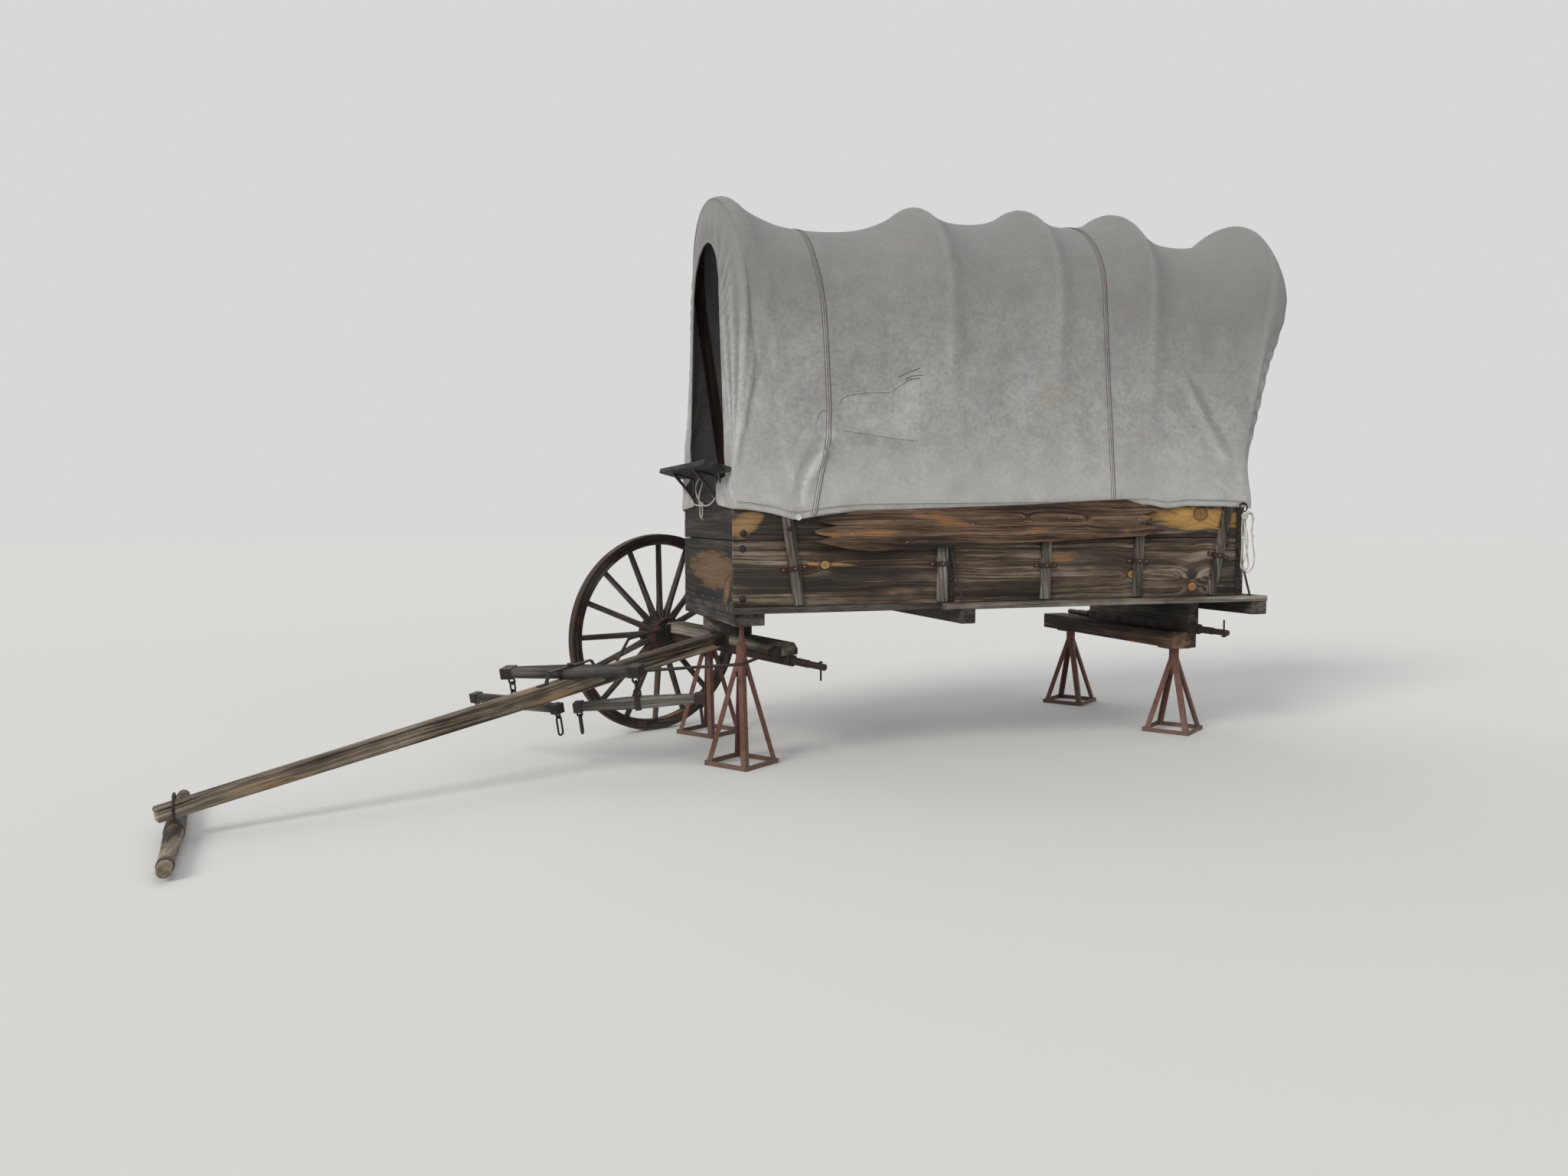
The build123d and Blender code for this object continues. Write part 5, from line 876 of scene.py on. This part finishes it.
def tones(points, out):
    """Painted shade and highlight from the folds and along the bows, and the patch's tones, as changes to the
    cloth's lightness.
    """
    x, y, z = points[..., 0], points[..., 1], points[..., 2]
    # Painted shade in the fold hollows and painted highlight on the ridges, from the folds' height against
    # its blur
    blurred = out.copy()
    for _ in range(14):
        blurred[1:-1] = (blurred[:-2] + 2 * blurred[1:-1] + blurred[2:]) / 4
    shade_and_patch = 0.20 * np.clip((out - blurred) / 0.0030, -1, 1)
    # Along each bow a paler band, partly rubbed wear and partly painted highlight, with painted shade in the
    # hollow behind it
    for station in bow_stations[1:]:
        off = columns - (knots[station] + knots[station + 1]) / 2
        line = np.exp(-((off - 0.020) / 0.026) ** 2) - 0.5 * np.exp(-((off - 0.085) / 0.04) ** 2)
        shade_and_patch += 0.20 * line[:, None] * smooth(z, 1.6, 2.3)
    near = smooth(y, 0.0, 0.2)
    shade_and_patch += near * 0.12 * inside(x, z, PATCH, 0.02)
    lower = [(px, pz - 0.075) for px, pz in PATCH[:2]] + [PATCH[1], PATCH[0]]
    shade_and_patch -= near * 0.10 * inside(x, z, lower, 0.02)
    return shade_and_patch


standing = folds(cover)
shade_and_patch = tones(cover, standing)
cover = cover + normals_of(cover) * standing[..., None]
flat_face = (cover[..., 2] < 1.56) & (cover[..., 2] > FOLD_TOP - 0.004)
cover[..., 0] = np.where(flat_face, np.minimum(cover[..., 0], FLAP_X), cover[..., 0])

count_u, count_v = cover.shape[:2]
points = cover.reshape(-1, 3)
around = np.concatenate([[0], np.cumsum(np.linalg.norm(np.diff(cover[count_u // 2], axis=0), axis=1))])
faces = []
for i in range(count_u - 1):
    for j in range(count_v - 1):
        a = i * count_v + j
        faces.append((a, a + 1, a + count_v + 1, a + count_v))
sheet = piece("cover_sheet", points, faces, M["canvas"])
layer = sheet.data.uv_layers.new(name="cloth")
for loop in sheet.data.loops:
    layer.data[loop.index].uv = columns[loop.vertex_index // count_v], around[loop.vertex_index % count_v]
# Painted shade and highlight of the folds and bows, with the patch's tones
sheet.data.attributes.new("shade_and_patch", "FLOAT", "POINT").data.foreach_set("value", shade_and_patch.ravel())
thick = sheet.modifiers.new("thick", "SOLIDIFY")
thick.thickness = CLOTH_THICKNESS
thick.offset = 0.0
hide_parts("cover_front", "cover_middle", "cover_rear", "cover_flaps")
cloth_tree = BVHTree.FromPolygons([tuple(p) for p in points], faces)


# Strips, threads and cords that lie on something

def angles(count):
    return [2 * math.pi * k / count for k in range(count)]


class Build:
    """Collects the points and faces of one piece."""

    def __init__(self):
        self.points = []
        self.faces = []

    def loft(self, rings):
        """Faces between closed rings of points, and one over each end."""
        start = len(self.points)
        count = len(rings[0])
        for ring in rings:
            self.points.extend(tuple(p) for p in ring)
        for i in range(len(rings) - 1):
            for j in range(count):
                a = start + i * count + j
                b = start + i * count + (j + 1) % count
                self.faces.append((a, b, b + count, a + count))
        self.faces.append(tuple(range(start + count - 1, start - 1, -1)))
        last = start + (len(rings) - 1) * count
        self.faces.append(tuple(range(last, last + count)))

    def turned(self, centre, axis, profile, sides):
        """A turned form on an axis; profile is (radius, height) from its foot to its top."""
        axis = Vector(axis).normalized()
        start = axis.orthogonal().normalized()
        other = axis.cross(start)
        circle = [start * math.cos(angle) + other * math.sin(angle) for angle in angles(sides)]
        rings = []
        for radius, height in profile:
            rings.append([Vector(centre) + axis * height + way * radius for way in circle])
        self.loft(rings)

    def tube(self, line, radius, sides, lobes=0, pitch=1.0):
        """A tube along a line of points. Lobes make it a laid rope that turns once in each pitch."""
        normal = None
        walked = 0.0
        rings = []
        for k, place in enumerate(line):
            ahead = line[min(k + 1, len(line) - 1)] - line[max(k - 1, 0)]
            ahead.normalize()
            normal = ahead.orthogonal() if normal is None else normal - ahead * normal.dot(ahead)
            normal.normalize()
            other = ahead.cross(normal)
            if k:
                walked += (place - line[k - 1]).length
            end = 0.55 if k in (0, len(line) - 1) else 1.0
            ring = []
            for angle in angles(sides):
                reach = radius * end
                if lobes:
                    lay = angle - 2 * math.pi * walked / pitch
                    reach *= 0.80 + 0.22 * abs(math.cos(lobes / 2 * lay))
                ring.append(place + (normal * math.cos(angle) + other * math.sin(angle)) * reach)
            rings.append(ring)
        self.loft(rings)

    def made(self, name, material, slot):
        return piece(name, self.points, self.faces, M[material])


SHOULDER_Z = 2.38


def on_cloth(x, height):
    """The sheet's outer point and normal at x and a height up the near side, or past it round the top."""
    if height < SHOULDER_Z:
        start, way = Vector((x, 1.5, height)), Vector((0, -1, 0))
    else:
        turn = (height - SHOULDER_Z) / CLOTH_MIDDLE
        way = Vector((0, -math.cos(turn), -math.sin(turn)))
        start = Vector((x, 0, SHOULDER_Z)) - way * 1.5
    hit, normal, _, _ = cloth_tree.ray_cast(start, way)
    if hit is None:
        return None
    if normal.dot(way) > 0:
        normal = -normal
    return hit + normal * CLOTH_THICKNESS / 2, normal


def cloth_path(corners, step, mirrored=False):
    """Points and normals on the sheet along straight runs between (x, height) corners."""
    line = []
    for (ax, ah), (bx, bh) in zip(corners, corners[1:]):
        count = max(1, int(math.dist((ax, ah), (bx, bh)) / step))
        for k in range(count):
            share = k / count
            found = on_cloth(ax + (bx - ax) * share, ah + (bh - ah) * share)
            if found:
                line.append(found)
    if mirrored:
        line = [(Vector((p.x, -p.y, p.z)), Vector((n.x, -n.y, n.z))) for p, n in line]
    return line


def across(line, k):
    """The way across a line of points and normals, in the sheet."""
    ahead = (line[min(k + 1, len(line) - 1)][0] - line[max(k - 1, 0)][0]).normalized()
    return line[k][1].cross(ahead).normalized()


def ribbon(build, line, width, lift):
    """A flat strip with soft edges along points on the sheet."""
    rings = []
    for k, (place, normal) in enumerate(line):
        half = across(line, k) * width / 2
        up = normal * lift
        rings.append([place - half - normal * 0.001, place - half * 0.94 + up, place + up * 1.15,
                      place + half * 0.94 + up, place + half - normal * 0.001])
    build.loft(rings)


def stitches(build, line, offset, lift, pitch, length, radius):
    """Threads laid along points on the sheet, moved sideways by offset."""
    places = [(place + across(line, k) * offset + normal * lift, normal)
              for k, (place, normal) in enumerate(line)]
    walked = 0.0
    due = 0.0
    for (a, normal), (b, _) in zip(places, places[1:]):
        run = (b - a).length
        if run < 1e-6:
            continue
        way = (b - a) / run
        while due < walked + run:
            start = a + way * (due - walked)
            middle = start + way * length / 2 + normal * 0.0003
            build.tube([start, middle, start + way * length], radius, 5)
            due += pitch
        walked += run


SEAMS = [
    [(1.136, 1.272), (1.128, 1.291), (1.095, 1.462), (1.061, 1.622), (1.049, 1.675), (1.044, 1.834),
     (1.053, 2.045), (1.062, 2.203), (1.080, 2.411), (1.094, 2.60), (1.090, 2.90), (1.078, 3.236)],
    [(-0.648, 1.332), (-0.643, 1.371), (-0.630, 1.60), (-0.620, 1.772), (-0.605, 2.00), (-0.589, 2.253),
     (-0.575, 2.45), (-0.590, 2.80), (-0.600, 3.236)],
]
PATCH_EDGES = [
    [(1.118, 1.737), (1.112, 1.779), (1.095, 1.801), (1.061, 1.818)],
    [(0.993, 1.836), (0.981, 1.868), (0.947, 1.891), (0.843, 1.907), (0.702, 1.916), (0.655, 1.950),
     (0.607, 1.978)],
    [(0.981, 1.714), (0.830, 1.696), (0.677, 1.678), (0.545, 1.665)],
]
PATCH_THREADS = [
    [(0.542, 2.041), (0.607, 2.016), (0.655, 1.993)],
    [(0.529, 2.005), (0.583, 1.999), (0.619, 1.983)],
    [(0.541, 1.988), (0.595, 1.981), (0.625, 1.967)],
]

seams = Build()
threads = Build()
for corners in SEAMS:
    for far in (False, True):
        line = cloth_path(corners, 0.012, far)
        ribbon(seams, line, 0.030, 0.0012)
        for offset in (-0.0125, 0.0, 0.0125):
            stitches(threads, line, offset, 0.0020, 0.0085, 0.0075, 0.0016)
for edge in PATCH_EDGES:
    ribbon(seams, cloth_path(edge, 0.010), 0.010, 0.0024)
for edge in PATCH_THREADS:
    stitches(threads, cloth_path(edge, 0.006), 0.0, 0.0006, 0.0105, 0.0095, 0.0020)
HEM_WIDTH = 0.036
hem = [(x, float(hem_at(x)) + HEM_WIDTH) for x in np.linspace(1.535, -1.56, 90)]
for far in (False, True):
    line = cloth_path(hem, 0.02, far)
    stitches(threads, line, 0.0, 0.0004, 0.0095, 0.0075, 0.0014)
    stitches(threads, line, 0.006 if far else -0.006, 0.0004, 0.0095, 0.0065, 0.0008)
seam_strips = seams.made("cover_seams", "canvas", "canvas")
cover_threads = threads.made("cover_threads", "stitch", "rope")

# The arch's drawn hem, a cord's channel rolled round the edge
rolled = Build()
rolled.tube([Vector(p) for p in cover[0] if p[2] > FOLD_TOP], 0.0048, 8)
arch_hem = rolled.made("arch_hem", "canvas", "canvas")


# Ropes. Each follows a smooth line through its own route's control points.

ROPE_X = 1.5635
ROPE = 0.004
ROPE_STEP = 0.0022


def rope_line(name, route):
    """Evenly spaced points read from a smooth spline on the route's control points."""
    data = bpy.data.curves.new(name + "_line", "CURVE")
    data.dimensions = "3D"
    data.resolution_u = 24
    spline = data.splines.new("NURBS")
    spline.points.add(len(route) - 1)
    for point, place in zip(spline.points, route):
        point.co = (*place, 1.0)
    spline.order_u = 3
    spline.use_endpoint_u = True
    holder = bpy.data.objects.new(name + "_line", data)
    mesh = bpy.data.meshes.new_from_object(holder)
    raw = np.array([v.co[:] for v in mesh.vertices])
    bpy.data.objects.remove(holder)
    walk = np.concatenate([[0], np.cumsum(np.linalg.norm(np.diff(raw, axis=0), axis=1))])
    at = np.linspace(0, walk[-1], int(walk[-1] / ROPE_STEP) + 1)
    return [Vector([np.interp(a, walk, raw[:, k]) for k in range(3)]) for a in at], float(walk[-1])


def laid(name, route):
    """A laid rope of three strands along a route, its line and its length."""
    line, length = rope_line(name, route)
    build = Build()
    build.tube(line, ROPE, 15, 3, 0.026)
    return build.made(name, "rope", "rope"), line, length


def rope(name, route, node, exit_point, far_end, *with_pieces):
    made, line, length = laid(name, route)
    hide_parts(node)


def in_front(*route):
    return [(ROPE_X + forward, y, z) for y, z, forward in route]


tie_knot, _, _ = laid("tie_knot", in_front(
    (-0.052, 1.341, -0.001), (-0.040, 1.347, 0.003), (-0.028, 1.339, 0.005), (-0.030, 1.326, 0.002),
    (-0.043, 1.321, -0.001), (-0.054, 1.328, 0.002), (-0.053, 1.341, 0.006), (-0.041, 1.346, 0.000),
    (-0.031, 1.338, -0.001), (-0.036, 1.327, 0.004), (-0.048, 1.325, 0.006), (-0.056, 1.334, 0.002)))
rope("tie_cord", in_front(
    (0.226, 1.365, 0), (0.180, 1.347, 0), (0.115, 1.333, 0), (0.040, 1.326, 0), (-0.030, 1.331, 0),
    (-0.050, 1.336, 0), (-0.097, 1.331, 0), (-0.152, 1.331, 0), (-0.209, 1.337, 0), (-0.266, 1.345, 0)),
    "tie_rope", (ROPE_X, 0.226, 1.364), "object", tie_knot)
rope("tie_loops", in_front(
    (-0.046, 1.334, 0.001), (-0.078, 1.346, 0.001), (-0.128, 1.364, 0.001), (-0.176, 1.392, 0.001),
    (-0.193, 1.424, 0.001), (-0.176, 1.450, 0.001), (-0.138, 1.468, 0.001), (-0.090, 1.482, 0.001),
    (-0.046, 1.482, 0.001), (-0.032, 1.452, 0.001), (-0.060, 1.426, 0.001), (-0.096, 1.408, 0.001),
    (-0.108, 1.384, 0.003), (-0.094, 1.358, 0.007), (-0.078, 1.336, 0.007), (-0.080, 1.312, 0.004),
    (-0.094, 1.290, 0.001), (-0.082, 1.264, 0.001), (-0.048, 1.264, 0.001), (-0.032, 1.292, 0.001),
    (-0.042, 1.330, 0.001)),
    "tie_bow", (ROPE_X, -0.044, 1.334), "knot")

HANK_Y = 0.5785
HANK = [
    (-1.4995, 1.300, 0.000), (-1.4985, 1.280, -0.001), (-1.4965, 1.250, -0.003), (-1.4950, 1.210, -0.004),
    (-1.4975, 1.148, -0.004), (-1.4980, 1.080, -0.003), (-1.4950, 1.030, -0.003), (-1.4932, 1.002, -0.003),
    (-1.4926, 0.978, -0.003), (-1.5090, 0.961, -0.004), (-1.5330, 0.961, -0.005), (-1.5496, 0.978, -0.005),
    (-1.5490, 1.002, -0.006), (-1.5400, 1.050, -0.006), (-1.5270, 1.110, -0.006), (-1.5160, 1.180, -0.005),
    (-1.5090, 1.225, -0.003), (-1.5064, 1.257, -0.001), (-1.5066, 1.281, 0.001), (-1.5230, 1.298, 0.003),
    (-1.5470, 1.298, 0.005), (-1.5636, 1.281, 0.005), (-1.5630, 1.257, 0.005), (-1.5600, 1.200, 0.005),
    (-1.5610, 1.150, 0.005), (-1.5720, 1.092, 0.005), (-1.5820, 1.040, 0.005), (-1.5810, 1.000, 0.005),
    (-1.5650, 0.966, 0.005), (-1.5400, 0.946, 0.005), (-1.5140, 0.952, 0.005), (-1.5010, 0.978, 0.004),
    (-1.5070, 1.010, 0.004), (-1.5230, 1.055, 0.005), (-1.5350, 1.110, 0.003), (-1.5340, 1.165, -0.002),
    (-1.5230, 1.215, -0.004), (-1.5186, 1.246, -0.004), (-1.5190, 1.270, -0.004), (-1.5350, 1.287, -0.004),
    (-1.5590, 1.287, -0.004), (-1.5756, 1.270, -0.004), (-1.5750, 1.246, -0.005), (-1.5690, 1.215, -0.005),
    (-1.5650, 1.190, -0.005), (-1.5690, 1.168, -0.005), (-1.5800, 1.152, -0.005),
]
wrap = []
for k in range(40):
    turns = k / 12
    angle = 2 * math.pi * turns
    wrap.append((-1.510 + 0.0175 * math.cos(angle), HANK_Y + 0.012 * math.sin(angle), 1.258 + 0.0075 * turns))
hank_knot, _, _ = laid("hank_knot", wrap)
rope("rope_hank_cord", [(x, HANK_Y + aside, z) for x, z, aside in HANK], "rope_hank",
     (-1.4995, HANK_Y, 1.302), "bare", hank_knot)


# Fasteners, the button and the grommet. Their profiles are (radius, height).

DOME = [(0.0112, 0.0), (0.0112, 0.0012), (0.0100, 0.0034), (0.0072, 0.0052), (0.0036, 0.0062),
        (0.0008, 0.0064)]
NAIL = [(0.0042, 0.0), (0.0040, 0.0012), (0.0026, 0.0021), (0.0006, 0.0024)]
WASHER = [(0.0190, 0.0), (0.0190, 0.0020), (0.0170, 0.0026), (0.0080, 0.0026)]
WASHER_TOP = 0.0024

bolts = Build()
bright = Build()
for side in (1, -1):
    out = Vector((0, side, 0))
    for x, z in ((1.497, 1.183), (1.502, 1.107), (1.502, 0.854), (-1.432, 1.189), (-1.430, 1.112),
                 (-1.445, 0.860), (1.205, 0.842), (0.40, 0.845), (-0.22, 0.842), (-0.82, 0.846)):
        place = Vector((x, side * (SIDE - 0.0006), z))
        bolts.turned(place, out, WASHER, 20)
        bolts.turned(place + out * WASHER_TOP, out, DOME, 20)
    for brace_x in (0.347, -1.512):
        for z in (0.850, 0.935, 1.020, 1.130, 1.185, 1.275, 1.365):
            wander = 0.006 * math.sin(40 * z)
            bolts.turned((brace_x - wander, side * (SIDE + 0.0045), z), out, DOME, 18)
    for index, height in enumerate((1.006, 1.020, 1.003, 1.020, 1.046)):
        lean = lean_of(index)
        middle = BOW_BASE[index] + lean * (height - FLOOR_TOP)
        for way in (-1, 1):
            foot = Vector((1, 0, -lean)).normalized() * 0.056 * way
            bright.turned((middle + foot.x, side * (SIDE + 0.0046), height + foot.z), out, NAIL, 12)
        bright.turned((middle, side * (SIDE + 0.0211), height), out, NAIL, 12)
        bolts.turned((middle + lean * 0.20, side * (SIDE + 0.0158), height + 0.20), out, DOME, 18)
for x, z in ((0.240, 1.228), (-0.350, 1.262), (0.930, 1.180), (-0.800, 1.255), (0.62, 1.135)):
    bright.turned((x, CLOTH_OUT + 0.0215, z), Y, NAIL, 12)
# On the tilted footboard
TILT = math.radians(15)
FOOTBOARD_TOP = 0.0276
rise = Vector((-math.sin(TILT), 0, math.cos(TILT)))
for y in (0.205, -0.290):
    for ahead in (0.030, 0.085):
        place = Vector((1.566 + ahead * math.cos(TILT), y, 1.487 + ahead * math.sin(TILT)))
        bolts.turned(place + rise * FOOTBOARD_TOP, rise, DOME, 18)
END_NAIL_X = 1.5496
for y in (-0.49, -0.30, -0.10, 0.12, 0.31, 0.49):
    for end, spread, z in ((1, 1, 0.835), (1, 0.97, 1.372), (-1, 1, 0.840), (-1, 0.98, 1.130)):
        bright.turned((end * END_NAIL_X, y * spread, z), X * end, NAIL, 12)
bolts.made("box_bolts", "iron", "iron")
bright.made("nails", "bright", "iron")

button = Build()
found, way = on_cloth(*BUTTON)
button.turned(found - way * 0.001, way,
              [(0.0150, 0.0), (0.0155, 0.0030), (0.0140, 0.0052), (0.0105, 0.0056), (0.0095, 0.0042),
               (0.0040, 0.0040), (0.0006, 0.0042)], 28)
button.made("button", "button", "canvas")

grommet = Build()
grommet_at = Vector((FLAP_X + 0.0045, 0.320, 1.449))
grommet.turned(grommet_at, X, [(0.0110, -0.004), (0.0112, 0.0010), (0.0100, 0.0024), (0.0080, 0.0028),
                               (0.0062, 0.0016), (0.0056, -0.0010), (0.0006, -0.0012)], 28)
grommet.made("grommet", "iron", "iron")


# Stage and light

FLOOR_COLOUR = (0.70, 0.69, 0.67)
BACKDROP_COLOUR = (0.69, 0.69, 0.68, 1)
SKY_COLOUR = (0.95, 0.98, 1.0, 1)
SKY_STRENGTH = 0.50
FLOOR_SIZE = 60

corners = [(x * FLOOR_SIZE, y * FLOOR_SIZE, 0) for x, y in ((-1, -1), (1, -1), (1, 1), (-1, 1))]
mesh = bpy.data.meshes.new("ground")
mesh.from_pydata(corners, [], [(0, 1, 2, 3)])
mesh.materials.append(Shade("ground").finish(FLOOR_COLOUR, 0.9))
placed("ground", mesh)

# The camera and gloss see a plain backdrop, and everything else the sky's plain light
world = bpy.data.worlds.new("sky")
bpy.context.scene.world = world
world.use_nodes = True
tree = world.node_tree
tree.nodes.clear()
paths, lamp, seen, either, mixed, shown = (tree.nodes.new("ShaderNode" + kind) for kind in (
    "LightPath", "Background", "Background", "Math", "MixShader", "OutputWorld"))
lamp.inputs["Color"].default_value = SKY_COLOUR
lamp.inputs["Strength"].default_value = SKY_STRENGTH
seen.inputs["Color"].default_value = BACKDROP_COLOUR
either.operation = "MAXIMUM"
for start, end in ((paths.outputs["Is Camera Ray"], either.inputs[0]),
                   (paths.outputs["Is Glossy Ray"], either.inputs[1]),
                   (either.outputs[0], mixed.inputs[0]), (lamp.outputs[0], mixed.inputs[1]),
                   (seen.outputs[0], mixed.inputs[2]), (mixed.outputs[0], shown.inputs[0])):
    tree.links.new(start, end)


def soft_sun(name, comes_from, strength, spread, colour):
    data = bpy.data.lights.new(name, "SUN")
    data.energy = strength
    data.angle = math.radians(spread)
    data.color = colour
    placed(name, data, comes_from)


soft_sun("key", (1.0, 0.62, 0.80), 1.75, 24, (1.0, 0.98, 0.95))
soft_sun("fill", (-0.5, 1.0, 0.6), 0.35, 60, (0.96, 0.98, 1.0))
soft_sun("back", (0.2, -1.0, 0.9), 0.55, 60, (1.0, 0.98, 0.96))
